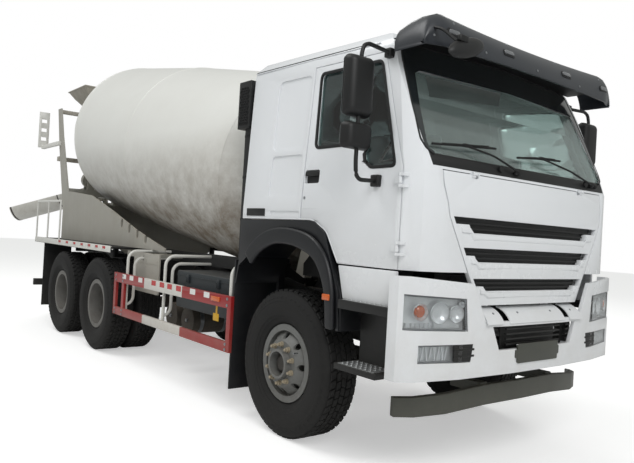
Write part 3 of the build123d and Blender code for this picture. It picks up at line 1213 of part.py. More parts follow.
# Discharge funnel below the drum's mouth
funnel_levels = (
    (2720, -7330, -6810, 430),
    (2500, -7230, -6830, 340),
    (2290, -7070, -6890, 110),
)
with BuildPart() as discharge_funnel:
    add(tapered_box(funnel_levels))
    add(tapered_box(funnel_levels, HOPPER_WALL), mode=Mode.SUBTRACT)
    for side in (-1, 1):
        with Locations((at(-6700), side * (STAND_Y - STAND_PLATE - SEAT_GAP - 10), 2530)):
            Box(280, 20, 70)
        with Locations((at(-6833), side * 610, 2530)):
            Box(24, 540, 70)
save(discharge_funnel, "discharge_funnel")

# Ladder rail over the right rear mudguard
with BuildPart() as ladder_rail:
    rail_outer = [(-6580, 1270 + SEAT_GAP), (-6580, 1830), (-5420, 1830), (-5420, 1270 + SEAT_GAP),
                  (-5450, 1270 + SEAT_GAP), (-5450, 1800), (-5985, 1800), (-5985, 1270 + SEAT_GAP),
                  (-6015, 1270 + SEAT_GAP), (-6015, 1800), (-6550, 1800), (-6550, 1270 + SEAT_GAP)]
    extrude(outline(side_plane(-1190), stationed(rail_outer)), amount=20)
save(ladder_rail, "ladder_rail")

# Lamp stand behind the right mast
with BuildPart() as rear_lamp_stand:
    with Locations((at(-7060), -STAND_Y - SEAT_GAP - 25, 2760)):
        Box(920, 50, 60)
    with Locations((at(-7500), -930, 3050)):
        Box(30, 160, 600)
    for level in (2900, 3050, 3200):
        with Locations((at(-7500), -930, level)):
            Box(60, 90, 60, mode=Mode.SUBTRACT)
save(rear_lamp_stand, "rear_lamp_stand")

# Chute swivel: a turntable on the stand's pin with a fork for the chute
heading = Vector(cos(radians(CHUTE_HEADING)), sin(radians(CHUTE_HEADING)), 0)
chute_pivot = Vector(at(CHUTE_PIVOT_STATION), 0, 0)
TILT_REACH = 60
TILT_Z = 1925
TILT_PIN_RADIUS = 20
tilt_plane = Plane(origin=chute_pivot + heading * TILT_REACH + Vector(0, 0, TILT_Z), x_dir=heading,
                   z_dir=Vector(0, 0, 1).cross(heading) * -1)
turntable_plane = Plane(origin=chute_pivot, x_dir=heading, z_dir=(0, 0, 1))
with BuildPart() as chute_swivel:
    with Locations((at(CHUTE_PIVOT_STATION), 0, ARM_TOP_Z + 5)):
        Cylinder(120, 40, align=(Align.CENTER, Align.CENTER, Align.MIN))
    with Locations(turntable_plane):
        with Locations((TILT_REACH, 0, ARM_TOP_Z + 25)):
            Box(130, 330, 40)
        for side in (-1, 1):
            with Locations((TILT_REACH, side * 148, TILT_Z - 30)):
                Box(70, 34, 80)
    for side in (-1, 1):
        with BuildSketch(tilt_plane.offset(side * 148)):
            Circle(36)
        extrude(amount=17, both=True)
    with BuildSketch(tilt_plane):
        Circle(TILT_PIN_RADIUS)
    extrude(amount=150, both=True)
    with Locations((at(CHUTE_PIVOT_STATION), 0, ARM_TOP_Z)):
        Cylinder(SWIVEL_PIN_RADIUS + BEARING_GAP, 75, align=(Align.CENTER, Align.CENTER, Align.MIN),
                 mode=Mode.SUBTRACT)
save(chute_swivel, "chute_swivel")

# Chute: a half-round trough sloping down from the swivel
CHUTE_TOP_Z = 2200
CHUTE_START = -110
fall = Vector(heading.X * cos(radians(CHUTE_SLOPE)), heading.Y * cos(radians(CHUTE_SLOPE)),
              -sin(radians(CHUTE_SLOPE)))
across = Vector(0, 0, 1).cross(heading)
trough_origin = chute_pivot + Vector(0, 0, CHUTE_TOP_Z) + fall * CHUTE_START
trough_plane = Plane(origin=trough_origin, x_dir=across, z_dir=fall)
with BuildPart() as chute:
    with BuildSketch(trough_plane):
        Circle(CHUTE_RADIUS + CHUTE_WALL)
        Circle(CHUTE_RADIUS, mode=Mode.SUBTRACT)
        down = 1 if trough_plane.y_dir.Z < 0 else -1
        with Locations((0, -down * 300)):
            Rectangle(1000, 600, mode=Mode.SUBTRACT)
    extrude(amount=CHUTE_LENGTH - CHUTE_START)
    for side in (-1, 1):
        with BuildSketch(tilt_plane.offset(side * 105)):
            with BuildLine():
                Polyline((-40, 0), (-40, 80), (40, 80), (40, 0), close=True)
            make_face()
            Circle(40)
        extrude(amount=13, both=True)
    with BuildSketch(tilt_plane):
        Circle(TILT_PIN_RADIUS + BEARING_GAP)
    extrude(amount=130, both=True, mode=Mode.SUBTRACT)
save(chute, "chute")
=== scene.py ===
# Concrete mixer truck: the scene with its finishes, small parts, light and camera.
# Metres, in the frame of the CAD model: +X forward, +Y left, +Z up.
import json
from math import cos, pi, radians, sin, sqrt

import bpy
from bpy.props import FloatProperty, FloatVectorProperty, IntProperty, PointerProperty
from mathutils import Matrix, Vector

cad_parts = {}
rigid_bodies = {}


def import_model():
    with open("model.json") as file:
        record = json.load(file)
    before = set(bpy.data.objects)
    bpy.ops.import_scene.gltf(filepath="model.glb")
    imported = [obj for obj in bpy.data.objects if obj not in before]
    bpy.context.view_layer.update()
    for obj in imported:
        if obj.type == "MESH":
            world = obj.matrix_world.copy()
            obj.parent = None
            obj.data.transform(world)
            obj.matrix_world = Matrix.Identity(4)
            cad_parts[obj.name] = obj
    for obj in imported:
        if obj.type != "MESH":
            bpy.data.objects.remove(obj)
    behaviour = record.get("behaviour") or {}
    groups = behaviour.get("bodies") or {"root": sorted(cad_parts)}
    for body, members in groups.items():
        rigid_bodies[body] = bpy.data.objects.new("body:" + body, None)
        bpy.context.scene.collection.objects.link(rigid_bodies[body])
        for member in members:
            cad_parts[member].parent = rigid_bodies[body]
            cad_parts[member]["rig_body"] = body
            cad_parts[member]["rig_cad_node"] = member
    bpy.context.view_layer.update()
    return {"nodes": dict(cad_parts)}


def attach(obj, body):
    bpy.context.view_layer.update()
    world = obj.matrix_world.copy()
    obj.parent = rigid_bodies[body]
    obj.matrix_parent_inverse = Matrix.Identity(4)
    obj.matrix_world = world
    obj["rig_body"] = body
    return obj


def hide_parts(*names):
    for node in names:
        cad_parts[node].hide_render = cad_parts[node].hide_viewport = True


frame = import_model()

bl_info = {
    "name": "Concrete mixer truck",
    "version": (1, 0, 0),
    "blender": (4, 5, 0),
    "location": "3D View > Sidebar > Mixer Truck",
    "description": "Models and paints the small parts of a three-axle concrete mixer truck",
    "category": "Object",
}

# Places that the pieces share with the CAD model, in metres unless a name says otherwise
FRONT_AXLE_X = 3.395
AXLE_Z = 0.556
FRONT_TYRE_Y = 1.011
DUAL_CENTRE_Y = 0.915
DUAL_SPACING = 0.340
MID_AXLE_X = FRONT_AXLE_X - 3.825
REAR_AXLE_X = MID_AXLE_X - 1.350
SIDES = ((-1, "right"), (1, "left"))
MERGE_DISTANCE = 0.00005
# Radii of the tyre outside its tread and of the faces of its tread blocks
TYRE_OUTSIDE = 0.5555
TREAD_FACE = 0.5548
# The camera ahead of the front axle, to its right and up, and its yaw, pitch and roll in degrees
CAMERA_PLACE = (3.885, -3.995, 1.532)
CAMERA_ANGLES = (141.35, 0.35, -3.27)


def spot(station, across, height):
    """A place from its station ahead of the front axle, its Y and its height, all in millimetres."""
    return Vector((FRONT_AXLE_X + station / 1000, across / 1000, height / 1000))


def srgb(code):
    """A hex colour as it looks on a screen, turned to the linear values that a shader takes."""
    parts = [int(code[i:i + 2], 16) / 255 for i in (0, 2, 4)]
    linear = [p / 12.92 if p <= 0.04045 else ((p + 0.055) / 1.055) ** 2.4 for p in parts]
    return (*linear, 1.0)


def clear_selection():
    """Leaves edit mode and deselects everything."""
    active = bpy.context.view_layer.objects.active
    if active is not None and active.mode != "OBJECT":
        bpy.ops.object.mode_set(mode="OBJECT")
    bpy.ops.object.select_all(action="DESELECT")


def hold(piece):
    """Makes a piece the only one selected."""
    clear_selection()
    piece.select_set(True)
    bpy.context.view_layer.objects.active = piece


def settle(piece):
    """Moves a piece's place, turn and size into its mesh."""
    hold(piece)
    bpy.ops.object.transform_apply(location=True, rotation=True, scale=True)
    return piece


def choose(piece, kind, test):
    """Opens a piece with only those faces, edges or corners selected that pass the test."""
    hold(piece)
    bpy.ops.object.mode_set(mode="EDIT")
    bpy.ops.mesh.select_mode(type=kind)
    bpy.ops.mesh.select_all(action="DESELECT")
    bpy.ops.object.mode_set(mode="OBJECT")
    mesh = piece.data
    for part in {"FACE": mesh.polygons, "EDGE": mesh.edges, "VERT": mesh.vertices}[kind]:
        part.select = bool(test(part))
    bpy.ops.object.mode_set(mode="EDIT")


def choose_faces(piece, test=lambda middle, normal: True):
    """Opens a piece with only the faces selected whose middle and normal pass the test."""
    choose(piece, "FACE", lambda face: test(face.center, face.normal))


def open_whole(piece):
    """Opens a piece with all of it selected."""
    hold(piece)
    bpy.ops.object.mode_set(mode="EDIT")
    bpy.ops.mesh.select_all(action="SELECT")


def close_piece():
    """Leaves edit mode."""
    bpy.ops.object.mode_set(mode="OBJECT")


def tidy_normals(piece):
    """Merges doubled corners and turns every face outwards."""
    open_whole(piece)
    bpy.ops.mesh.remove_doubles(threshold=MERGE_DISTANCE)
    bpy.ops.mesh.normals_make_consistent(inside=False)
    close_piece()
    return piece


def worked(piece, kind, **settings):
    """Adds a modifier with its settings and applies it."""
    hold(piece)
    modifier = piece.modifiers.new(kind.title(), kind)
    for name, value in settings.items():
        setattr(modifier, name, value)
    bpy.ops.object.modifier_apply(modifier=modifier.name)
    return piece


def eased(piece, width=0.003, steps=2, angle=30):
    """Rounds the sharp edges of a piece."""
    return worked(piece, "BEVEL", width=width, segments=steps, limit_method="ANGLE",
        angle_limit=radians(angle), use_clamp_overlap=True)


def block(name, low, high):
    """A box between two corners, ready to be shaped."""
    clear_selection()
    middle = (low + high) / 2
    bpy.ops.mesh.primitive_cube_add(size=1, location=middle, scale=high - low)
    piece = bpy.context.object
    piece.name = name
    return settle(piece)


def laid_out(name, points):
    """A flat face whose corners are laid out one by one."""
    clear_selection()
    bpy.ops.mesh.primitive_circle_add(vertices=len(points), radius=1, fill_type="NGON")
    piece = bpy.context.object
    piece.name = name
    for corner, point in zip(piece.data.vertices, points):
        corner.co = point
    return piece


def drawn_out(piece, way):
    """Extrudes a flat face along a vector and closes the body."""
    choose_faces(piece)
    bpy.ops.mesh.extrude_region_move(TRANSFORM_OT_translate={"value": way})
    close_piece()
    return tidy_normals(piece)


def slab(name, points, way):
    """A body with the given outline, drawn out along a vector."""
    return drawn_out(laid_out(name, points), way)


def turned(name, profile, centre, axis, steps, upright=None):
    """A body of revolution: profile pairs are distance along the axis and radius."""
    axis = axis.normalized()
    upright = upright or (Vector((0, 0, 1)) if abs(axis.z) < 0.9 else Vector((1, 0, 0)))
    upright = (upright - axis * upright.dot(axis)).normalized()
    piece = laid_out(name, [centre + axis * along + upright * radius for along, radius in profile])
    choose_faces(piece)
    bpy.ops.mesh.delete(type="ONLY_FACE")
    bpy.ops.mesh.select_mode(type="EDGE")
    bpy.ops.mesh.select_all(action="SELECT")
    bpy.ops.mesh.spin(steps=steps, angle=2 * pi, center=centre, axis=axis, use_auto_merge=False)
    bpy.ops.mesh.select_all(action="SELECT")
    bpy.ops.mesh.remove_doubles(threshold=MERGE_DISTANCE)
    bpy.ops.mesh.dissolve_degenerate(threshold=0.00001)
    bpy.ops.mesh.delete_loose(use_verts=True, use_edges=True)
    close_piece()
    return tidy_normals(piece)


def rod(name, points, radius, bend=0.0, sides=16, steps=6):
    """A round bar or tube along a run of points, its corners bent."""
    clear_selection()
    bpy.ops.mesh.primitive_circle_add(vertices=max(3, len(points)), radius=1, fill_type="NOTHING")
    piece = bpy.context.object
    piece.name = name
    corners = piece.data.vertices
    for corner, point in zip(corners, points):
        corner.co = point
    if len(points) == 2:
        corners[2].co = (points[0] + points[1]) / 2
        last = {0, 1}
    else:
        last = {0, len(points) - 1}
    choose(piece, "EDGE", lambda edge: set(edge.vertices) == last)
    bpy.ops.mesh.delete(type="EDGE_FACE")
    if bend:
        close_piece()
        used = [0] * len(piece.data.vertices)
        for edge in piece.data.edges:
            for end in edge.vertices:
                used[end] += 1
        choose(piece, "VERT", lambda corner: used[corner.index] > 1)
        bpy.ops.mesh.bevel(offset=bend, segments=steps, affect="VERTICES")
    close_piece()
    bpy.ops.object.convert(target="CURVE")
    curve = bpy.context.object
    curve.data.bevel_depth = radius
    curve.data.bevel_resolution = sides // 4
    curve.data.use_fill_caps = True
    bpy.ops.object.convert(target="MESH")
    piece = bpy.context.object
    piece.name = name
    return tidy_normals(piece)


def plate(name, points, radius, way, ease=0.0, steps=5):
    """A plate with rounded corners, drawn out along a vector, its edges eased."""
    piece = laid_out(name, points)
    if radius:
        choose_faces(piece)
        bpy.ops.mesh.bevel(offset=radius, segments=steps, affect="VERTICES")
        close_piece()
    drawn_out(piece, way)
    return eased(piece, ease) if ease else piece


def band(name, points, radius, width, way, ease=0.0):
    """A ring of even width just inside an outline with rounded corners."""
    piece = laid_out(name, points)
    choose_faces(piece)
    if radius:
        bpy.ops.mesh.bevel(offset=radius, segments=6, affect="VERTICES")
    bpy.ops.mesh.inset(thickness=width, use_even_offset=True)
    bpy.ops.mesh.delete(type="FACE")
    close_piece()
    drawn_out(piece, way)
    return eased(piece, ease) if ease else piece


def oblong(left, low, right, high):
    """The four corners of an upright rectangle, as pairs."""
    return (left, low), (right, low), (right, high), (left, high)


def rounded(points, radius, steps=5):
    """A flat outline with its corners rounded by arcs, as pairs."""
    result = []
    for place, (x, y) in enumerate(points):
        (x0, y0), (x1, y1) = points[place - 1], points[(place + 1) % len(points)]
        first = Vector((x0 - x, y0 - y))
        last = Vector((x1 - x, y1 - y))
        reach = min(radius, first.length * 0.45, last.length * 0.45)
        start, end = first.normalized() * reach, last.normalized() * reach
        for step in range(steps + 1):
            share = step / steps
            result.append((x + start.x * (1 - share) ** 2 + end.x * share ** 2,
                y + start.y * (1 - share) ** 2 + end.y * share ** 2))
    return result


def curved(points, steps=4):
    """A smooth run through a list of pairs."""
    result = []
    for place in range(len(points) - 1):
        before, start = points[max(place - 1, 0)], points[place]
        end, after = points[place + 1], points[min(place + 2, len(points) - 1)]
        for step in range(steps):
            t = step / steps
            result.append(tuple(
                0.5 * (2 * b + (c - a) * t + (2 * a - 5 * b + 4 * c - d) * t ** 2
                    + (3 * b - a - 3 * c + d) * t ** 3)
                for a, b, c, d in zip(before, start, end, after)))
    return result + [tuple(points[-1])]


def strip(name, outer, inner, way, ease=0.0):
    """A closed or open strip between two runs of places, drawn out along a vector."""
    clear_selection()
    bpy.ops.mesh.primitive_grid_add(x_subdivisions=len(outer) - 1, y_subdivisions=1)
    piece = bpy.context.object
    piece.name = name
    for corner, place in zip(piece.data.vertices, list(outer) + list(inner)):
        corner.co = place
    tidy_normals(piece)
    drawn_out(piece, way)
    return eased(piece, ease) if ease else piece


def seal_ring(name, points, radius, width, surface, way, ease=0.0):
    """A seal of even width inside a rounded outline, laid on a surface given by a function."""
    outline = rounded(points, radius)
    middle = Vector((sum(x for x, y in outline) / len(outline),
        sum(y for x, y in outline) / len(outline)))
    inner = []
    for place, (x, y) in enumerate(outline):
        (x0, y0), (x1, y1) = outline[place - 1], outline[(place + 1) % len(outline)]
        side = Vector((y0 - y1, x1 - x0)).normalized()
        if side.dot(middle - Vector((x, y))) < 0:
            side = -side
        inner.append((x + side.x * width, y + side.y * width))
    loops = [[surface(*pair) for pair in pairs + pairs[:1]] for pairs in (outline, inner)]
    return strip(name, *loops, way, ease)


def repeated_round(piece, count, centre, axis):
    """Repeats a piece at even steps round an axis."""
    open_whole(piece)
    bpy.ops.mesh.spin(steps=count - 1, angle=2 * pi * (count - 1) / count, dupli=True, center=centre,
        axis=axis)
    close_piece()
    return piece


def repeated(piece, count, way):
    """Repeats a piece along a vector."""
    return worked(piece, "ARRAY", count=count, use_relative_offset=False, use_constant_offset=True,
        constant_offset_displace=way)


def copied(piece, name, way):
    """A copy with its own mesh, moved or turned by a vector or a matrix."""
    twin = piece.copy()
    twin.data = piece.data.copy()
    twin.name = name
    bpy.context.scene.collection.objects.link(twin)
    matrix = way if isinstance(way, Matrix) else Matrix.Translation(way)
    twin.data.transform(matrix)
    if matrix.determinant() < 0:
        tidy_normals(twin)
    return twin


MIRROR = Matrix.Scale(-1, 4, (0, 1, 0))


def other_side(piece, name):
    """A mirror copy across the truck's centre plane."""
    return copied(piece, name, MIRROR)


def joined(name, pieces):
    """Joins pieces into one object."""
    clear_selection()
    for piece in pieces:
        piece.select_set(True)
    bpy.context.view_layer.objects.active = pieces[0]
    if len(pieces) > 1:
        bpy.ops.object.join()
    whole = bpy.context.object
    whole.name = name
    return whole


def turn_about(point, axis, angle):
    """A matrix that turns about an axis through a point."""
    return Matrix.Translation(point) @ Matrix.Rotation(angle, 4, axis) @ Matrix.Translation(-point)


def fitted(piece, body, look, smooth=32, stands_for=()):
    """Smooths and paints a finished piece, and mounts it on its body."""
    hold(piece)
    bpy.ops.object.shade_smooth_by_angle(angle=radians(smooth))
    looks = [look] if isinstance(look, str) else look
    while len(piece.data.materials) < len(looks):
        piece.data.materials.append(None)
    for place, name in enumerate(looks):
        piece.data.materials[place] = finish[name]
    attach(piece, body)
    if stands_for:
        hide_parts(*stands_for)
    return piece


def both_sides(piece, body, look, smooth=32, bodies=None):
    """Fits a piece modelled on the right side, and its mirror copy on the left."""
    stem = piece.name
    twin = other_side(piece, stem + "_left")
    piece.name = stem + "_right"
    right, left = bodies or (body, body)
    fitted(piece, right, look, smooth)
    fitted(twin, left, look, smooth)
    return piece, twin


def paint_node(name, material):
    """Gives a CAD node its finish."""
    slots = frame["nodes"][name].data.materials
    if not len(slots):
        slots.append(material)
    for place in range(len(slots)):
        slots[place] = material


def merged_copy(node, name):
    """A merged copy of a CAD node, ready to be worked on."""
    source = frame["nodes"][node]
    piece = source.copy()
    piece.data = source.data.copy()
    piece.name = name
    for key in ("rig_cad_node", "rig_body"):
        if key in piece:
            del piece[key]
    piece.parent = None
    bpy.context.scene.collection.objects.link(piece)
    tidy_normals(piece)
    return worked(piece, "DECIMATE", decimate_type="DISSOLVE", angle_limit=radians(0.5))


def dressed(node, name, width, steps=3):
    """A merged copy of a CAD node with its sharp edges rounded."""
    return eased(merged_copy(node, name), width, steps, 28)


# The finishes by their keys
finish = {}


def emptied_tree(owner):
    """The shader tree of a material or world, emptied."""
    owner.use_nodes = True
    owner.node_tree.nodes.clear()
    return owner.node_tree


def restyled(node, name, width, steps, body, look, smooth):
    """Fits a copy of a CAD node with rounded edges in the node's place."""
    return fitted(dressed(node, name, width, steps), body, look, smooth, (node,))


def add_node(tree, kind, settings=None, links=None):
    """Adds a shader node with its settings and its incoming links, by name or by number."""
    node = tree.nodes.new(kind)
    for name, value in (settings or {}).items():
        if name in node.inputs:
            node.inputs[name].default_value = value
        else:
            setattr(node, name, value)
    for name, source in (links or {}).items():
        tree.links.new(source, node.inputs[name])
    return node


def mix(key, name, colour, shade, dust="9B9284", dust_on_tops=0.35, dust_low=0.0, low=0.2, high=1.4,
        patch_mm=420, grain_mm=2.0, streaks=0.0, streak_colour="6E5A45", rough=0.35, rough_dusty=0.8,
        bump_mm=0.15, metallic=0.0, coat=0.0, wear=0.0, wear_colour="8A8A88", ior=1.5, speckle=0.0):
    """Mixes a painted, moulded or cast surface with its dust, dirt, streaks and worn edges.

    colour and shade are the clean colour and its uneven patches. dust_on_tops settles on faces
    that look up, dust_low rises from the ground between the heights high and low. streaks run
    down the sides.
    """
    material = bpy.data.materials.new(name)
    tree = emptied_tree(material)
    place = add_node(tree, "ShaderNodeTexCoord").outputs["Object"]
    patches = add_node(tree, "ShaderNodeTexNoise", {"Scale": 1000 / patch_mm, "Detail": 5.0,
        "Roughness": 0.6}, {"Vector": place})
    base = add_node(tree, "ShaderNodeMixRGB", {"Color1": srgb(colour), "Color2": srgb(shade)},
        {"Fac": patches.outputs["Fac"]}).outputs["Color"]
    grain = add_node(tree, "ShaderNodeTexNoise", {"Scale": 1000 / grain_mm, "Detail": 3.0},
        {"Vector": place})
    if speckle:
        flecks = add_node(tree, "ShaderNodeMapRange", {"From Min": 0.6, "From Max": 0.72,
            "To Max": speckle}, {"Value": grain.outputs["Fac"]})
        base = add_node(tree, "ShaderNodeMixRGB", {"Color2": srgb(dust)},
            {"Fac": flecks.outputs["Result"], "Color1": base}).outputs["Color"]
    if wear:
        form = add_node(tree, "ShaderNodeNewGeometry")
        edges = add_node(tree, "ShaderNodeMapRange", {"From Min": 0.53, "From Max": 0.62, "To Max": wear},
            {"Value": form.outputs["Pointiness"]})
        broken = add_node(tree, "ShaderNodeMath", {"operation": "MULTIPLY"},
            {0: edges.outputs["Result"], 1: patches.outputs["Fac"]})
        base = add_node(tree, "ShaderNodeMixRGB", {"Color2": srgb(wear_colour)},
            {"Fac": broken.outputs["Value"], "Color1": base}).outputs["Color"]
    if streaks:
        runs = add_node(tree, "ShaderNodeMapping", {"Scale": (16.0, 16.0, 1.1)}, {"Vector": place})
        lines = add_node(tree, "ShaderNodeTexNoise", {"Scale": 1.0, "Detail": 6.0, "Roughness": 0.65},
            {"Vector": runs.outputs["Vector"]})
        amount = add_node(tree, "ShaderNodeMapRange", {"From Min": 0.5, "From Max": 0.78,
            "To Max": streaks}, {"Value": lines.outputs["Fac"]})
        base = add_node(tree, "ShaderNodeMixRGB", {"Color2": srgb(streak_colour)},
            {"Fac": amount.outputs["Result"], "Color1": base}).outputs["Color"]
    height = add_node(tree, "ShaderNodeSeparateXYZ", {}, {"Vector": place}).outputs["Z"]
    facing = add_node(tree, "ShaderNodeNewGeometry").outputs["Normal"]
    looks_up = add_node(tree, "ShaderNodeSeparateXYZ", {}, {"Vector": facing}).outputs["Z"]
    on_tops = add_node(tree, "ShaderNodeMapRange", {"From Min": 0.35, "From Max": 1.0,
        "To Max": dust_on_tops}, {"Value": looks_up}).outputs["Result"]
    from_below = add_node(tree, "ShaderNodeMapRange", {"From Min": high, "From Max": low,
        "To Max": dust_low}, {"Value": height}).outputs["Result"]
    both = add_node(tree, "ShaderNodeMath", {"operation": "ADD"}, {0: on_tops, 1: from_below})
    cloud = add_node(tree, "ShaderNodeTexNoise", {"Scale": 1000 / (patch_mm * 0.35), "Detail": 7.0,
        "Roughness": 0.7}, {"Vector": place})
    uneven = add_node(tree, "ShaderNodeMapRange", {"From Min": 0.3, "From Max": 0.75, "To Min": 0.25},
        {"Value": cloud.outputs["Fac"]})
    dusty = add_node(tree, "ShaderNodeMath", {"operation": "MULTIPLY", "use_clamp": True},
        {0: both.outputs["Value"], 1: uneven.outputs["Result"]})
    base = add_node(tree, "ShaderNodeMixRGB", {"Color2": srgb(dust)},
        {"Fac": dusty.outputs["Value"], "Color1": base}).outputs["Color"]
    dull = add_node(tree, "ShaderNodeMapRange", {"To Min": rough, "To Max": rough_dusty},
        {"Value": dusty.outputs["Value"]}).outputs["Result"]
    relief = add_node(tree, "ShaderNodeBump", {"Strength": 0.6, "Distance": bump_mm / 1000},
        {"Height": grain.outputs["Fac"]})
    shader = add_node(tree, "ShaderNodeBsdfPrincipled", {"Metallic": metallic},
        {"Base Color": base, "Roughness": dull, "Normal": relief.outputs["Normal"]})
    if not metallic:
        shader.inputs["IOR"].default_value = ior
    if coat:
        shader.inputs["Coat Weight"].default_value = coat
        shader.inputs["Coat Roughness"].default_value = 0.08
    add_node(tree, "ShaderNodeOutputMaterial", {}, {"Surface": shader.outputs["BSDF"]})
    finish[key] = material


# Glass and lenses: clear bodies whose faint film of dust breaks the gloss
def glaze(key, name, colour, film_colour, film, ior=1.5, rough=0.0, patch_mm=180, through=1.0):
    """Mixes a see-through body with an uneven film of dust. Where through is below 1, the rest is a milky
    surface lit by the lamps: painted light.
    """
    material = bpy.data.materials.new(name)
    tree = emptied_tree(material)
    place = add_node(tree, "ShaderNodeTexCoord").outputs["Object"]
    cloud = add_node(tree, "ShaderNodeTexNoise", {"Scale": 1000 / patch_mm, "Detail": 6.0,
        "Roughness": 0.7}, {"Vector": place})
    dull = add_node(tree, "ShaderNodeMapRange", {"From Min": 0.35, "From Max": 0.8, "To Min": rough,
        "To Max": rough + 0.12}, {"Value": cloud.outputs["Fac"]})
    tint = add_node(tree, "ShaderNodeMixRGB", {"Color1": srgb(colour), "Color2": srgb(film_colour)},
        {"Fac": add_node(tree, "ShaderNodeMapRange", {"From Min": 0.45, "From Max": 0.9, "To Max": film},
        {"Value": cloud.outputs["Fac"]}).outputs["Result"]})
    fine = add_node(tree, "ShaderNodeBump", {"Strength": 0.05, "Distance": 0.0002},
        {"Height": cloud.outputs["Fac"]})
    shader = add_node(tree, "ShaderNodeBsdfPrincipled", {"Transmission Weight": through, "IOR": ior},
        {"Base Color": tint.outputs["Color"], "Roughness": dull.outputs["Result"],
        "Normal": fine.outputs["Normal"]})
    add_node(tree, "ShaderNodeOutputMaterial", {}, {"Surface": shader.outputs["BSDF"]})
    finish[key] = material


def mix_finishes():
    """Mixes every paint, plastic, rubber and glass of the truck."""
    # Gloss white acrylic enamel on pressed steel: clean and even, faint dust low on the panels
    mix("cab_enamel", "cab_gloss_enamel", "EEF0F3", "E6E9ED", dust="B9B2A6", dust_on_tops=0.10,
        dust_low=0.35, low=0.7, high=1.9, rough=0.22, coat=0.35, patch_mm=900, bump_mm=0.02, grain_mm=6)
    # White shop enamel on the plates of the mixer: duller, streaked and dusty, its colour painted down to
    # grey as shade
    mix("body_enamel", "stand_enamel_greyed_as_shade", "B0AFA8", "9E9C94", dust="A79C8B", dust_on_tops=0.5,
        dust_low=0.25, low=0.9, high=2.0, streaks=0.12, rough=0.42, patch_mm=300, grain_mm=3, wear=0.25,
        wear_colour="8B7B66")
    # White enamel on tubes and rails: like the stand's, with road dust
    mix("tube_enamel", "tube_shop_enamel", "E4E4E0", "D5D4CE", dust="A79C8B", dust_on_tops=0.3,
        dust_low=0.45, low=0.5, high=1.3, rough=0.35, patch_mm=160)
    # Red enamel on the side guards
    mix("guard_red", "guard_red_enamel", "A3141C", "8C1018", dust="A08876", dust_on_tops=0.3,
        dust_low=0.35, low=0.4, high=1.1, rough=0.32, patch_mm=260, coat=0.2)
    mix("guard_white", "guard_white_enamel", "E2E1DC", "D2D0C9", dust="A08876", dust_on_tops=0.3,
        dust_low=0.4, low=0.4, high=1.1, rough=0.32, patch_mm=260)
    # Chassis enamel: dark grey over hot-rolled steel, greyed by road dust
    mix("chassis_paint", "chassis_dark_enamel", "151618", "111213", dust="6F675B", dust_on_tops=0.4,
        dust_low=0.25, low=0.3, high=1.2, rough=0.5, patch_mm=240, grain_mm=3)
    # Cast iron and forged steel under the truck: rough, matt and dusty
    mix("axle_iron", "sand_cast_iron", "2B2927", "34302B", dust="7B6F60", dust_on_tops=0.6, dust_low=0.5,
        low=0.2, high=1.0, rough=0.75, patch_mm=120, grain_mm=4, bump_mm=0.8)
    # Moulded polypropylene of steps, liners and cowl: black with a fine grain
    mix("black_plastic", "grained_polypropylene", "0C0D0E", "101112", dust="6D675E", dust_on_tops=0.15,
        dust_low=0.12, low=0.3, high=1.4, rough=0.5, patch_mm=200, grain_mm=2.5, bump_mm=0.25)
    # Visor in dark grey glass-filled plastic with a satin face
    mix("visor_plastic", "visor_satin_plastic", "303338", "2B2E33", dust="7C7A76", dust_on_tops=0.14,
        rough=0.34, patch_mm=500, grain_mm=2.5, bump_mm=0.12)
    # Front corner of the wheel arch: moulded in navy black
    mix("arch_plastic", "arch_navy_plastic", "090C12", "0D1016", dust="77716A", dust_on_tops=0.1,
        dust_low=0.08, low=0.6, high=1.7, rough=0.4, patch_mm=320, bump_mm=0.2)
    # Rubber seals and mudflaps: matt EPDM
    mix("seal_rubber", "epdm_rubber", "101112", "151617", dust="6E685F", dust_on_tops=0.12, dust_low=0.2,
        low=0.2, high=1.2, rough=0.7, patch_mm=150, bump_mm=0.2)
    # Tyre rubber: black with grey dust on the tread and the side wall
    mix("tyre", "carbon_black_rubber", "0B0B0C", "0F0F0F", dust="5A554D", dust_on_tops=0.0, dust_low=0.12,
        low=0.0, high=1.3, rough=0.8, patch_mm=90, grain_mm=3, bump_mm=0.35, speckle=0.06)
    # Baked wheel enamel: light grey in front, grimy grey behind
    mix("rim_front", "wheel_silver_enamel", "7B7D7C", "666765", dust="5A5248", dust_on_tops=0.25,
        dust_low=0.6, low=0.1, high=1.1, rough=0.42, patch_mm=90, grain_mm=2, streaks=0.2,
        streak_colour="4E473E")
    mix("rim_rear", "wheel_grimy_enamel", "7C7B78", "686663", dust="5C564C", dust_on_tops=0.3,
        dust_low=0.35, low=0.1, high=1.1, rough=0.55, patch_mm=80, grain_mm=2, streaks=0.35,
        streak_colour="38322B")
    # Hub iron with old grease
    mix("hub_iron", "greasy_hub_iron", "3A3733", "2B2926", dust="6A6156", dust_on_tops=0.3, dust_low=0.3,
        low=0.2, high=0.9, rough=0.5, patch_mm=40, grain_mm=3, bump_mm=0.5)
    # Nuts under beige polyethylene caps
    mix("nut_cap", "nut_cap_polyethylene", "A89C86", "8F846F", dust="6A6156", dust_on_tops=0.3,
        dust_low=0.2, rough=0.55, patch_mm=30)
    # Zinc-plated steel of screws, hinges and wiper pins
    mix("zinc", "zinc_plated_steel", "A7AAAD", "8F9295", dust="807A70", dust_on_tops=0.2, rough=0.35,
        metallic=0.9, patch_mm=30, bump_mm=0.05)
    # Vacuum-coated lamp bowls: mirror bright
    mix("lamp_chrome", "lamp_bowl_chrome", "F0F1F2", "E4E6E8", dust="B5B0A8", dust_on_tops=0.0,
        rough=0.16, metallic=0.35, patch_mm=40, bump_mm=0.02)
    mix("mirror_glass", "silvered_mirror_glass", "D5DADD", "CBD1D5", dust="9F9C96", dust_on_tops=0.0,
        rough=0.04, metallic=1.0, patch_mm=80, bump_mm=0.0)
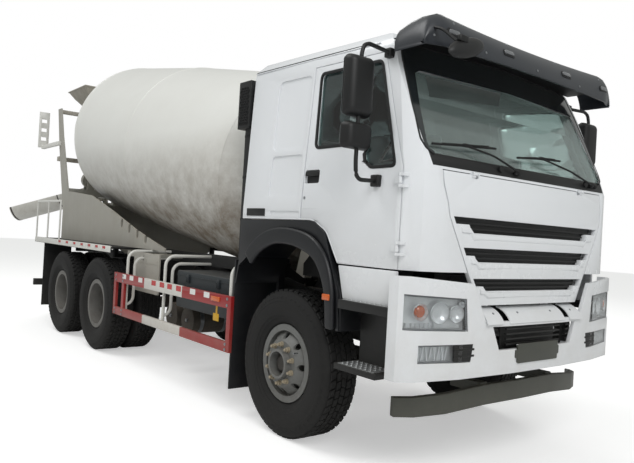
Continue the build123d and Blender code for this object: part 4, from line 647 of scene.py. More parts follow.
    # Polycarbonate lenses: clear, amber and red
    glaze("lens_clear", "clear_polycarbonate", "F4F7F8", "D0CCC2", 0.25, ior=1.58, rough=0.02)
    mix("lens_amber", "amber_polycarbonate", "D8651A", "C9560F", dust_on_tops=0.1, rough=0.2, coat=0.6,
        patch_mm=25)
    mix("lens_red", "red_polycarbonate", "A31217", "8E0D12", dust_on_tops=0.1, rough=0.2, coat=0.6,
        patch_mm=25)
    # Marker lamp lenses in smoked polycarbonate
    mix("lens_smoke", "smoked_polycarbonate", "6E7073", "5E6063", dust_on_tops=0.05, rough=0.18, coat=0.7,
        patch_mm=30)
    # Bezels of the front lamps: satin grey plastic
    mix("bezel_grey", "lamp_bezel_plastic", "8E9194", "7F8285", dust_on_tops=0.1, rough=0.35, patch_mm=60,
        bump_mm=0.05)
    # Dark ceramic border fired onto the windscreen's edge; its wide top band, up to the visor, is painted
    # shade under the visor
    mix("glass_border", "ceramic_border_and_painted_shade", "262B2D", "212527", dust_on_tops=0.0, rough=0.12,
        coat=0.5, patch_mm=300, bump_mm=0.0)
    # Battery case: blue-grey moulded polypropylene
    mix("battery_plastic", "battery_case_plastic", "2A3136", "232A2E", dust="6D675E", dust_on_tops=0.35,
        dust_low=0.2, low=0.4, high=1.2, rough=0.5, patch_mm=200, grain_mm=3)
    # Tinted safety glass, greenish grey. The windscreen passes 0.85 of the light, and the rest is a milky
    # lit surface: painted light standing in for its reflection and for the lit cab behind it
    glaze("screen_glass", "tinted_glass_painted_sheen", "C6D6D2", "A4ABA8", 0.32, ior=1.5, through=0.85)
    glaze("door_glass", "tinted_toughened_glass", "A9B9B7", "A0A39D", 0.15, ior=1.5)
    # Chequered tread plate in dull aluminium
    mix("tread_aluminium", "tread_plate_aluminium", "B9BBBC", "A6A8A9", dust="857B6C", dust_on_tops=0.2,
        rough=0.42, metallic=0.85, patch_mm=60, bump_mm=0.2)
    # Olive grey enamel on the underrun bar
    mix("underrun", "underrun_olive_enamel", "4B4C45", "3F403A", dust="7C7568", dust_on_tops=0.35,
        dust_low=0.2, low=0.2, high=0.8, rough=0.45, patch_mm=180, wear=0.2)
    # Cement-stained steel of hopper and chute: grey crust over worn paint
    mix("cement_steel", "cement_stained_steel", "B7B3AA", "8F8A7F", dust="A29A8B", dust_on_tops=0.5,
        streaks=0.5, streak_colour="77695A", rough=0.7, patch_mm=130, grain_mm=6, bump_mm=0.8,
        speckle=0.3)
    # Chute in pale galvanised sheet, washed after each load
    mix("chute_steel", "chute_pale_enamel", "D6D5D0", "BDBAB2", dust="A29A8B", dust_on_tops=0.3,
        streaks=0.3, streak_colour="8B7E6D", rough=0.5, patch_mm=160, grain_mm=4, bump_mm=0.3,
        speckle=0.1)
    # Retroreflective tape and reflectors
    mix("tape_red", "red_reflective_tape", "C3161B", "B01015", dust_on_tops=0.1, rough=0.25, patch_mm=60,
        coat=0.3)
    mix("tape_white", "white_reflective_tape", "ECECEA", "DEDEDA", dust_on_tops=0.1, rough=0.25,
        patch_mm=60, coat=0.3)
    mix("tag_yellow", "yellow_enamelled_tag", "D9A915", "C69710", dust_on_tops=0.1, rough=0.4,
        patch_mm=40)
    # Woven seat cloth: charcoal with a visible thread
    mix("seat_cloth", "charcoal_woven_cloth", "2C2D30", "232427", dust="5A5750", dust_on_tops=0.15,
        rough=0.95, patch_mm=120, grain_mm=3, bump_mm=1.2, speckle=0.15)
    mix("dark_interior", "dashboard_grey_plastic", "4D5153", "44484A", dust_on_tops=0.15, rough=0.6,
        patch_mm=200, grain_mm=3, bump_mm=0.3)


def drum_finish():
    """Warm grey enamel on rolled steel, darker and browner on its lower half from cement dust and painted
    shade, with rust at the rear end.
    """
    material = bpy.data.materials.new("drum_warm_grey_enamel")
    tree = emptied_tree(material)
    place = add_node(tree, "ShaderNodeTexCoord").outputs["Object"]
    # Local X runs rearward along the drum's axis from its front plate
    along_drum = add_node(tree, "ShaderNodeMapping", {"vector_type": "TEXTURE", "Location": DRUM_FRONT,
        "Rotation": (0.0, DRUM_TILT, pi)}, {"Vector": place})
    axes = add_node(tree, "ShaderNodeSeparateXYZ", {}, {"Vector": along_drum.outputs["Vector"]})
    patches = add_node(tree, "ShaderNodeTexNoise", {"Scale": 1.6, "Detail": 6.0, "Roughness": 0.6},
        {"Vector": place})
    base = add_node(tree, "ShaderNodeMixRGB", {"Color1": srgb("EDEEEA"), "Color2": srgb("E2E1DC")},
        {"Fac": patches.outputs["Fac"]}).outputs["Color"]
    height = add_node(tree, "ShaderNodeSeparateXYZ", {}, {"Vector": place}).outputs["Z"]
    cloud = add_node(tree, "ShaderNodeTexNoise", {"Scale": 5.0, "Detail": 9.0, "Roughness": 0.72},
        {"Vector": place})
    # Towards the bottom the enamel turns darker and browner: cement dust together with painted shade on
    # the drum's belly
    low_dust_and_shade = add_node(tree, "ShaderNodeMapRange", {"From Min": 2.55, "From Max": 1.55, "To Max": 1.0},
        {"Value": height}).outputs["Result"]
    spotted = add_node(tree, "ShaderNodeMapRange", {"From Min": 0.3, "From Max": 0.62, "To Min": 0.35},
        {"Value": cloud.outputs["Fac"]}).outputs["Result"]
    # dusty carries both the cement dust and the painted shade of the lower half
    dusty = add_node(tree, "ShaderNodeMath", {"operation": "MULTIPLY", "use_clamp": True},
        {0: low_dust_and_shade, 1: spotted})
    base = add_node(tree, "ShaderNodeMixRGB", {"Color2": srgb("85796A")},
        {"Fac": dusty.outputs["Value"], "Color1": base}).outputs["Color"]
    rear_end = add_node(tree, "ShaderNodeMapRange", {"From Min": 4.9, "From Max": 5.6, "To Max": 0.8},
        {"Value": axes.outputs["X"]}).outputs["Result"]
    rusty = add_node(tree, "ShaderNodeMath", {"operation": "MULTIPLY", "use_clamp": True},
        {0: rear_end, 1: spotted})
    base = add_node(tree, "ShaderNodeMixRGB", {"Color2": srgb("7A5B41")},
        {"Fac": rusty.outputs["Value"], "Color1": base}).outputs["Color"]
    dull = add_node(tree, "ShaderNodeMapRange", {"To Min": 0.3, "To Max": 0.75},
        {"Value": dusty.outputs["Value"]}).outputs["Result"]
    relief = add_node(tree, "ShaderNodeBump", {"Strength": 0.35, "Distance": 0.002},
        {"Height": cloud.outputs["Fac"]})
    shader = add_node(tree, "ShaderNodeBsdfPrincipled", {"Coat Weight": 0.25, "Coat Roughness": 0.15},
        {"Base Color": base, "Roughness": dull, "Normal": relief.outputs["Normal"]})
    add_node(tree, "ShaderNodeOutputMaterial", {}, {"Surface": shader.outputs["BSDF"]})
    return material


DRUM_FRONT = (FRONT_AXLE_X - 0.950, 0.0, 2.060)
DRUM_TILT = radians(9.8)
DRUM_AXIS = Vector((-cos(DRUM_TILT), 0, sin(DRUM_TILT)))


NODE_FINISHES = {
    "chassis_paint": ("frame", "subframe", "battery_box", "air_tanks", "fuel_tank", "engine",
        "leaf_springs"),
    "axle_iron": ("front_axle", "knuckle_right", "knuckle_left", "tie_rod", "drive_axles"),
    "cab_enamel": ("cab_shell", "door_right", "door_left", "front_panel", "bumper", "step_fairings"),
    "body_enamel": ("drum_front_stand", "drum_rear_stand", "rear_mudguards", "side_skirts",
        "rear_lamp_stand"),
    "tube_enamel": ("ladder_rail", "guard_hoops"),
    "guard_red": ("side_guards",),
    "black_plastic": ("wiper_cowl", "grille_backing", "air_intake", "door_fittings_right",
        "door_fittings_left", "steps", "rear_lamp_bar"),
    "arch_plastic": ("front_mudguards",),
    "visor_plastic": ("visor",),
    "dark_interior": ("dashboard",),
    "seat_cloth": ("seats",),
    "screen_glass": ("windscreen",),
    "door_glass": ("door_glass_right", "door_glass_left"),
    "lens_clear": ("front_lamps",),
    "underrun": ("underrun_bar",),
    "cement_steel": ("hopper", "discharge_funnel", "chute", "chute_swivel"),
    "tyre": tuple(f"tyre_{w}_{s}" for w in ("front", "mid", "rear") for s in ("right", "left")),
    "rim_front": ("rim_front_right", "rim_front_left"),
    "rim_rear": ("rim_mid_right", "rim_mid_left", "rim_rear_right", "rim_rear_left"),
}


def along_line(value, pairs):
    """Reads a broken line of (place, value) pairs."""
    for (start, first), (end, last) in zip(pairs, pairs[1:]):
        if value <= end:
            return first + (last - first) * (max(value, start) - start) / (end - start)
    return pairs[-1][1]


# Outlines of the cab and bumper in millimetres: half widths and stations
CAB_SIDE = ((1300, 1172), (1720, 1180), (2815, 1125), (2855, 1116), (2922, 1060))
CAB_PLAN = ((-630, 1180), (1040, 1180), (1165, 1162), (1262, 1090), (1320, 950))
FRONT_LINE = ((1350, 1345), (1700, 1333), (1985, 1290), (2700, 1190), (2840, 1168))
FRONT_PLAN = ((0, 1347), (500, 1340), (950, 1320), (1090, 1262), (1162, 1165))
BUMPER_PLAN = ((0, 1405), (300, 1405), (800, 1375), (1150, 1310), (1245, 1250))
VISOR_SECTION = ((860, 2922), (960, 2948), (1070, 2962), (1165, 2955), (1215, 2928), (1256, 2890),
    (1288, 2845), (1310, 2795), (1325, 2735))
VISOR_HALF_WIDTH = 1135
VISOR_CAP = 0.86
# The windscreen and its pillars lean back from the belt line up
BELT_Z = 1985
LEAN_OVER = 715
LEAN_BACK = 150
LEAN_CORNERS = 80
DRAWN_IN = 0.055
ACROSS = Vector((0, 1, 0))
FORWARD = Vector((1, 0, 0))
UP = Vector((0, 0, 1))


def leant(place):
    """Moves a place of the plain upright cab back and inwards above the belt line."""
    station = (place.x - FRONT_AXLE_X) * 1000
    rise = min(max((place.z * 1000 - BELT_Z) / LEAN_OVER, 0), 1.35)
    forward = min(max((station - 100) / 1050, 0), 1)
    back = rise * forward * (LEAN_BACK + LEAN_CORNERS * min(abs(place.y) / 1.1, 1) ** 2)
    narrow = rise * min(max((station + 600) / 1750, 0), 1) * DRAWN_IN
    return Vector((place.x - back / 1000, place.y * (1 - narrow), place.z))


def leaned(piece):
    """Leans a piece of the upper cab as the real one, cut where it starts to bend."""
    cuts = [(Vector((0, 0, height)), UP) for height in (1.985, 2.20, 2.45, 2.70)]
    cuts += [(spot(station, 0, 0), FORWARD) for station in (100, 620)]
    for place, way in cuts:
        open_whole(piece)
        bpy.ops.mesh.bisect(plane_co=place, plane_no=way)
        close_piece()
    for corner in piece.data.vertices:
        corner.co = leant(corner.co)
    return piece


def upright_side(station, height, proud=0.0):
    """A place on the right side of the plain upright cab."""
    across = min(along_line(height, CAB_SIDE), along_line(station, CAB_PLAN))
    return spot(station, -across - proud, height)


def on_side(station, height, proud=0.0):
    """A place on the right side of the cab."""
    return leant(upright_side(station, height, proud))


def on_front(across, height, proud=0.0):
    """A place on the front of the cab or on its windscreen."""
    station = min(along_line(height, FRONT_LINE), along_line(abs(across), FRONT_PLAN))
    return leant(spot(station + proud, across, height))


def on_bumper(across, height, proud=0.0):
    """A place on the front of the bumper."""
    return spot(along_line(abs(across), BUMPER_PLAN) + proud, across, height)


def visor_place(share, along):
    """A place on the sun visor: share runs from right end (-1) to left (1), along from roof to lip."""
    reach = abs(share)
    cap = max(0, (reach - VISOR_CAP) / (1 - VISOR_CAP)) * pi / 2
    across = VISOR_HALF_WIDTH * (min(reach, VISOR_CAP) + (1 - VISOR_CAP) * sin(cap))
    number = min(int(along * 8), 7)
    part = along * 8 - number
    (station, height), (next_station, next_height) = VISOR_SECTION[number], VISOR_SECTION[number + 1]
    station += (next_station - station) * part
    height += (next_height - height) * part
    lip = VISOR_SECTION[-1][1]
    back = (45 * reach ** 2 + 60 * sin(cap)) * along - 130 * reach ** 2 * (1 - along)
    return spot(station - back, across if share > 0 else -across,
        lip + (height - lip) * max(cos(cap), 0.02))


def on_visor(across, height, proud=0.0):
    """A place on the front of the sun visor."""
    share = across / VISOR_HALF_WIDTH
    places = [visor_place(share, step / 60) for step in range(20, 61)]
    return min(places, key=lambda place: abs(place.z * 1000 - height)) + Vector((proud / 1000, 0, 0))


class TruckWheelSizes(bpy.types.PropertyGroup):
    """Sizes of tyres and wheel nuts."""
    tread_pitches: IntProperty(name="Tread pitches", description="Tread blocks around each tyre",
        default=54, min=20, max=90)
    groove_depth: FloatProperty(name="Groove depth", description="Depth of the tread's grooves",
        default=0.0125, unit="LENGTH")
    nut_count: IntProperty(name="Wheel nuts", description="Nuts on each wheel", default=10, min=5, max=12)
    nut_circle: FloatProperty(name="Nut circle", description="Radius of the circle of nuts",
        default=0.145, unit="LENGTH")


class TruckCabSizes(bpy.types.PropertyGroup):
    """Sizes of seals, wipers and mirrors."""
    seal_width: FloatProperty(name="Seal width", description="Width of the rubber round each window",
        default=0.024, unit="LENGTH")
    panel_ease: FloatProperty(name="Panel edge", description="Radius on the edges of the cab's panels",
        default=0.010, unit="LENGTH")
    mirror_ease: FloatProperty(name="Mirror edge",
        description="Radius on the edges of the mirror housings", default=0.038, unit="LENGTH")
    wiper_width: FloatProperty(name="Wiper blade width", description="Width of a wiper blade",
        default=0.016, unit="LENGTH")


class TruckBodySizes(bpy.types.PropertyGroup):
    """Sizes of the drum's seams, the guards and the air intake's comb."""
    seam_width: FloatProperty(name="Weld seam width",
        description="Width of the weld seams round the drum", default=0.016, unit="LENGTH")
    hoop_radius: FloatProperty(name="Hoop tube radius", description="Radius of the side guard's hoops",
        default=0.016, unit="LENGTH")
    comb_pitch: FloatProperty(name="Comb pitch", description="Spacing of the air intake's cells",
        default=0.026, unit="LENGTH")


class TruckStageSettings(bpy.types.PropertyGroup):
    """Floor, light and camera."""
    floor_colour: FloatVectorProperty(name="Floor colour", description="Colour of the floor",
        subtype="COLOR", size=4, default=(0.80, 0.80, 0.80, 1.0), min=0.0, max=1.0)
    sky_strength: FloatProperty(name="Sky strength",
        description="Strength of the even light from all round", default=0.50)
    key_power: FloatProperty(name="Key light", description="Power of the large soft lamp in watts",
        default=640.0)
    lens: FloatProperty(name="Lens", description="Focal length of the camera in millimetres",
        default=36.227)


class TRUCK_OT_stage(bpy.types.Operator):
    """Pale floor, soft light and the camera at the photographer's place"""
    bl_idname = "truck.stage"
    bl_label = "Stage"

    def execute(self, context):
        settings = context.scene.truck_stage
        scene = context.scene
        scene.view_settings.view_transform = "Standard"
        clear_selection()
        bpy.ops.mesh.primitive_grid_add(x_subdivisions=4, y_subdivisions=4, size=90,
            location=(0, 0, -0.0005))
        floor = settle(bpy.context.object)
        floor.name = "studio_floor"
        material = bpy.data.materials.new("pale_floor_paint")
        tree = emptied_tree(material)
        seen = add_node(tree, "ShaderNodeLightPath").outputs
        matt = add_node(tree, "ShaderNodeBsdfDiffuse", {"Color": tuple(settings.floor_colour)})
        white = add_node(tree, "ShaderNodeEmission", {"Color": (1.0, 1.0, 1.0, 1.0), "Strength": 0.45})
        lifted = add_node(tree, "ShaderNodeAddShader", {}, {0: matt.outputs["BSDF"],
            1: white.outputs["Emission"]})
        mixed = add_node(tree, "ShaderNodeMixShader", {}, {"Fac": seen["Is Camera Ray"],
            1: matt.outputs["BSDF"], 2: lifted.outputs["Shader"]})
        add_node(tree, "ShaderNodeOutputMaterial", {}, {"Surface": mixed.outputs["Shader"]})
        floor.data.materials.append(material)

        world = bpy.data.worlds.new("soft_sky")
        scene.world = world
        tree = emptied_tree(world)
        seen = add_node(tree, "ShaderNodeLightPath").outputs
        rays = add_node(tree, "ShaderNodeMath", {"operation": "ADD", "use_clamp": True},
            {0: seen["Is Camera Ray"], 1: seen["Is Transmission Ray"]})
        sky = add_node(tree, "ShaderNodeBackground", {"Color": srgb("F4F6F3"),
            "Strength": settings.sky_strength})
        backdrop = add_node(tree, "ShaderNodeBackground", {"Color": (1.0, 1.0, 1.0, 1.0),
            "Strength": 1.0})
        mixed = add_node(tree, "ShaderNodeMixShader", {}, {"Fac": rays.outputs["Value"],
            1: sky.outputs["Background"], 2: backdrop.outputs["Background"]})
        add_node(tree, "ShaderNodeOutputWorld", {}, {"Surface": mixed.outputs["Shader"]})

        lamps = (
            # name, place, target, size, share of the key light
            ("key_softbox", (12.5, -5.0, 9.0), (1.5, 0.0, 1.5), 7.0, 0.95),
            ("fill_softbox", (-2.0, -6.5, 13.5), (0.0, 0.0, 1.5), 8.0, 0.95),
            ("rim_softbox", (-6.0, 9.0, 10.0), (0.0, 0.0, 2.0), 7.0, 0.5),
        )
        for name, place, target, size, share in lamps:
            lamp = bpy.data.lights.new(name, "AREA")
            lamp.shape = "DISK"
            lamp.size = size
            lamp.energy = settings.key_power * share
            holder = bpy.data.objects.new(name, lamp)
            scene.collection.objects.link(holder)
            holder.location = place
            holder.rotation_euler = (Vector(target) - Vector(place)).to_track_quat("-Z", "Y").to_euler()

        camera = bpy.data.cameras.new("camera")
        camera.lens = settings.lens
        camera.sensor_width = 36.0
        camera.sensor_fit = "HORIZONTAL"
        camera.clip_end = 200.0
        holder = bpy.data.objects.new("camera", camera)
        scene.collection.objects.link(holder)
        yaw, pitch, roll = [radians(angle) for angle in CAMERA_ANGLES]
        view = Vector((cos(yaw) * cos(pitch), sin(yaw) * cos(pitch), sin(pitch)))
        level = view.cross(UP).normalized()
        below = view.cross(level)
        right = cos(roll) * level + sin(roll) * below
        down = -sin(roll) * level + cos(roll) * below
        turn = Matrix((right, -down, -view)).transposed().to_4x4()
        holder.matrix_world = Matrix.Translation(FORWARD * FRONT_AXLE_X + Vector(CAMERA_PLACE)) @ turn
        scene.camera = holder
        return {"FINISHED"}


class TRUCK_OT_finishes(bpy.types.Operator):
    """Paints every node of the CAD model with the finish of the real thing"""
    bl_idname = "truck.finishes"
    bl_label = "Finishes"

    def execute(self, context):
        mix_finishes()
        for name, nodes in NODE_FINISHES.items():
            for node in nodes:
                paint_node(node, finish[name])
        finish["drum"] = drum_finish()
        paint_node("drum", finish["drum"])
        return {"FINISHED"}


class TRUCK_OT_tyres(bpy.types.Operator):
    """Tyres with ribs, grooves and shoulder lugs, modelled once and copied to every wheel"""
    bl_idname = "truck.tyres"
    bl_label = "Tyres"

    def execute(self, context):
        sizes = context.scene.truck_wheels
        # Distance from the tyre's middle and radius, from the bead round the side wall to the crown
        half = [(0.1043, 0.2563), (0.1043, 0.300), (0.112, 0.306), (0.120, 0.309), (0.123, 0.316),
            (0.127, 0.322), (0.136, 0.340), (0.139, 0.341), (0.148, 0.365), (0.1505, 0.366),
            (0.155, 0.392), (0.1575, 0.415), (0.1575, 0.440), (0.1555, 0.463), (0.157, 0.465),
            (0.156, 0.475), (0.153, 0.487), (0.146, 0.505), (0.138, 0.524), (0.128, 0.538),
            (0.116, 0.5425), (0.0, 0.5430)]
        profile = half + [(-across, radius) for across, radius in half[-2::-1]]
        centre = Vector((0, 0, 0))
        body = turned("tyre_body", profile, centre, ACROSS, 88)
        blocks = []
        foot = TYRE_OUTSIDE - sizes.groove_depth - 0.003
        # Middle across, half width, half length, slant and start along the tread of each block
        for across, half_width, half_length, slant, start in ((0.0, 0.019, 0.0285, 0.006, 0.0),
                (0.046, 0.019, 0.0285, -0.006, 0.016), (-0.046, 0.019, 0.0285, -0.006, 0.016),
                (0.095, 0.0215, 0.0245, 0.010, 0.004), (-0.095, 0.0215, 0.0245, -0.010, 0.004)):
            corners = [(start - half_length - slant, across - half_width),
                (start + half_length - slant, across - half_width),
                (start + half_length + slant, across + half_width),
                (start - half_length + slant, across + half_width)]
            tread_block = slab("tread_block", [Vector((x, y, foot)) for x, y in corners],
                Vector((0, 0, TREAD_FACE - foot)))
            drop = sqrt(TREAD_FACE ** 2 - start ** 2) - TREAD_FACE
            tread_block.data.transform(Matrix.Translation((0, 0, drop)))
            blocks.append(eased(tread_block, 0.0022, 1))
        tread = repeated_round(joined("tread", blocks), sizes.tread_pitches, centre, ACROSS)
        lugs = []
        for side in (-1, 1):
            lug = slab("shoulder_lug", [Vector((-0.016, side * 0.121, 0.536)),
                Vector((0.016, side * 0.121, 0.536)), Vector((0.012, side * 0.1515, 0.487)),
                Vector((-0.012, side * 0.1515, 0.487))], Vector((0, side * 0.0035, 0.0035)))
            lugs.append(lug)
        shoulder = repeated_round(joined("shoulders", lugs), sizes.tread_pitches, centre, ACROSS)
        tyre = joined("tyre_form", [body, tread, shoulder])
        for wheel, x in (("front", FRONT_AXLE_X), ("mid", MID_AXLE_X), ("rear", REAR_AXLE_X)):
            for side, side_name in SIDES:
                if wheel == "front":
                    places = [side * FRONT_TYRE_Y]
                else:
                    places = [side * (DUAL_CENTRE_Y + half * DUAL_SPACING / 2) for half in (1, -1)]
                copies = []
                for number, y in enumerate(places):
                    turn = Matrix.Translation((x, y, AXLE_Z)) @ Matrix.Rotation(0.37 * number + x, 4, "Y")
                    copies.append(copied(tyre, f"tyre_tread_{wheel}_{side_name}", turn))
                whole = joined(f"tyre_tread_{wheel}_{side_name}", copies)
                fitted(whole, f"wheel_{wheel}_{side_name}", "tyre", 34,
                    (f"tyre_{wheel}_{side_name}",))
        bpy.data.objects.remove(tyre)
        return {"FINISHED"}


class TRUCK_OT_wheel_nuts(bpy.types.Operator):
    """Wheel nuts with their caps, hub covers and valves"""
    bl_idname = "truck.wheel_nuts"
    bl_label = "Wheel nuts and hubs"

    def execute(self, context):
        sizes = context.scene.truck_wheels
        # Wheel, axle, Y of its middle, and the disc's face and hub cover's foot from there outwards
        wheels = (
            ("front", FRONT_AXLE_X, FRONT_TYRE_Y, 0.150, 0.115),
            ("mid", MID_AXLE_X, DUAL_CENTRE_Y, 0.016, 0.120),
            ("rear", REAR_AXLE_X, DUAL_CENTRE_Y, 0.016, 0.120),
        )
        for wheel, x, y, face, foot in wheels:
            centre = Vector((x, -y, AXLE_Z))
            first = centre + UP * sizes.nut_circle
            washer = turned("washer", [(face - 0.001, 0), (face - 0.001, 0.021), (face + 0.004, 0.021),
                (face + 0.005, 0.018), (face + 0.005, 0)], first, -ACROSS, 16)
            nut = turned("nut", [(face + 0.004, 0), (face + 0.004, 0.0185), (face + 0.022, 0.0185),
                (face + 0.0245, 0.015), (face + 0.0245, 0)], first, -ACROSS, 6)
            stud = turned("stud", [(face + 0.024, 0), (face + 0.024, 0.0115), (face + 0.040, 0.0115),
                (face + 0.043, 0.008), (face + 0.043, 0)], first, -ACROSS, 12)
            for part in (washer, nut, stud):
                repeated_round(part, sizes.nut_count, centre, -ACROSS)
            nuts = joined(f"wheel_nuts_{wheel}", [washer, nut, stud])
            cap_look = "nut_cap" if wheel == "front" else "hub_iron"
            bodies = (f"wheel_{wheel}_right", f"wheel_{wheel}_left")
            both_sides(nuts, "", cap_look, 25, bodies)
            radius = 0.088 if wheel == "front" else 0.074
            cover = turned("hub_cover", [(foot - 0.004, 0), (foot - 0.004, radius),
                (foot + 0.004, radius), (foot + 0.008, radius - 0.006), (foot + 0.012, radius - 0.024),
                (foot + 0.030, radius - 0.030), (foot + 0.036, radius - 0.038), (foot + 0.038, 0)],
                centre, -ACROSS, 40)
            bolt = turned("hub_bolt", [(foot, 0), (foot, 0.009), (foot + 0.013, 0.009),
                (foot + 0.014, 0)], centre + UP * (radius - 0.014), -ACROSS, 6)
            repeated_round(bolt, 8, centre, -ACROSS)
            hub = joined(f"hub_cover_{wheel}", [cover, bolt])
            both_sides(hub, "", "hub_iron", 28, bodies)
            valve_place = centre + Vector((0.19, 0, 0.11))
            valve = turned("valve", [(face - 0.004, 0), (face - 0.004, 0.006), (face + 0.020, 0.005),
                (face + 0.022, 0.0065), (face + 0.034, 0.0065), (face + 0.035, 0)], valve_place, -ACROSS,
                10)
            valve.name = f"tyre_valve_{wheel}"
            both_sides(valve, "", "zinc", 28, bodies)
        return {"FINISHED"}


def carved(piece, cutters):
    """Cuts bodies out of a piece."""
    tool = joined("cutter", cutters)
    hold(piece)
    modifier = piece.modifiers.new("Cut", "BOOLEAN")
    modifier.operation = "DIFFERENCE"
    modifier.solver = "EXACT"
    modifier.object = tool
    bpy.ops.object.modifier_apply(modifier=modifier.name)
    bpy.data.objects.remove(tool)
    return piece


def pressing(stations, heights, corner, depth, side=1):
    """A cutter for a rounded recess pressed into the cab's right side, mirrored for side -1."""
    (rear, front), (low, high) = stations, heights
    outline = oblong(rear, low, front, high)
    piece = plate("pressing", [upright_side(station, height, -depth) for station, height in outline],
        corner, ACROSS * -0.06)
    if side < 0:
        twin = other_side(piece, "pressing")
        bpy.data.objects.remove(piece)
        return twin
    return piece


def dot(name, place, way, radius, height, ease=0.3, steps=16):
    """A small round head standing on a surface."""
    return turned(name, [(-0.002, 0), (-0.002, radius), (height * (1 - ease), radius),
        (height, radius * (1 - ease)), (height, 0)], place, way, steps)


class TRUCK_OT_cab_panels(bpy.types.Operator):
    """Cab walls with their pressed panels, roof seams and side badges"""
    bl_idname = "truck.cab_panels"
    bl_label = "Cab panels"

    def execute(self, context):
        sizes = context.scene.truck_cab
        cab = merged_copy("cab_shell", "cab_panels")
        presses = []
        for side in (1, -1):
            presses.append(pressing((-285, 125), (2170, 2725), 0.055, 10, side))
            presses.append(pressing((-277, 112), (1818, 2128), 0.030, 9, side))
            presses.append(pressing((-232, 135), (1674, 1703), 0.012, 8, side))
        carved(cab, presses)
        leaned(eased(cab, sizes.panel_ease, 3, 28))
        fitted(cab, "cab", "cab_enamel", 30, ("cab_shell",))
        seam = rod("roof_seam", [on_side(-622, 2851, 1), on_side(300, 2853, 1), on_side(880, 2854, 1)],
            0.005, 0.02, 8)
        both_sides(seam, "cab", "seal_rubber")
        gutter = slab("roof_gutter", [on_side(-626, 2838, -1), on_side(1020, 2842, -1),
            on_side(1020, 2850, -1), on_side(-626, 2846, -1)], ACROSS * -0.012)
        both_sides(eased(gutter, 0.003, 2), "cab", "cab_enamel")
        badge = plate("blank_side_badge", [on_side(s, z, 0) for s, z in oblong(-568, 1662, -306, 1722)],
            0.008, ACROSS * -0.004, 0.0012)
        both_sides(badge, "cab", "black_plastic")
        edge = rod("arch_lip", [on_side(-626, 1643, -4), on_side(300, 1643, -4), on_side(462, 1568, -4),
            on_side(596, 1355, -4)], 0.007, 0.04, 8)
        both_sides(edge, "cab", "cab_enamel")
        return {"FINISHED"}


WINDOW_SEAL = ((252, 2150), (806, 2150), (829, 1981), (1100, 1981), (1093, 2090), (1046, 2727),
    (239, 2727))


class TRUCK_OT_doors(bpy.types.Operator):
    """Doors with window seals, a recessed handle, a lock and a soft crease"""
    bl_idname = "truck.doors"
    bl_label = "Doors"

    def execute(self, context):
        sizes = context.scene.truck_cab
        bodies = ("door_right", "door_left")
        for side, side_name in SIDES:
            glass = leaned(merged_copy(f"door_glass_{side_name}", f"door_pane_{side_name}"))
            fitted(glass, f"door_{side_name}", "door_glass", 30, (f"door_glass_{side_name}",))
            door = merged_copy(f"door_{side_name}", f"door_panel_{side_name}")
            carved(door, [pressing((175, 342), (1905, 2002), 0.016, 26, -side)])
            leaned(eased(door, 0.005, 2, 28))
            fitted(door, f"door_{side_name}", "cab_enamel", 30, (f"door_{side_name}",))
        seal = seal_ring("window_seal", WINDOW_SEAL, 60, sizes.seal_width * 1000, lambda station,
            height: on_side(station, height, -9), ACROSS * -0.013, 0.003)
        both_sides(seal, "", "seal_rubber", 32, bodies)
        tray = plate("handle_tray", [on_side(s, z, -25) for s, z in oblong(176, 1906, 341, 2001)], 0.015,
            ACROSS * 0.004)
        grip = plate("handle_grip", [on_side(s, z, -6) for s, z in oblong(180, 1958, 337, 1995)], 0.012,
            ACROSS * -0.010, 0.004)
        posts = [slab("handle_post", [on_side(a, z, -24) for a, z in oblong(s - 10, 1962, s + 10, 1990)],
            ACROSS * -0.020) for s in (196, 320)]
        both_sides(joined("door_handle", [tray, grip, *posts]), "", "black_plastic", 30,
            bodies)
        lock = dot("door_lock", on_side(192, 1800, 0), -ACROSS, 0.011, 0.005)
        both_sides(lock, "", "zinc", 30, bodies)
        crease = slab("door_crease", [on_side(180, 1718, -3), on_side(1140, 1727, -3),
            on_side(1140, 1735, -3), on_side(180, 1726, -3)], ACROSS * -0.006)
        skirt = slab("door_skirt", [on_side(596, 1364, -4), on_side(1141, 1358, -4),
            on_side(1141, 1356, -4), on_side(600, 1356, -4)], ACROSS * -0.010)
        both_sides(joined("door_trim", [eased(crease, 0.003, 2), eased(skirt, 0.002, 2)]), "",
            "cab_enamel", 60, bodies)
        return {"FINISHED"}


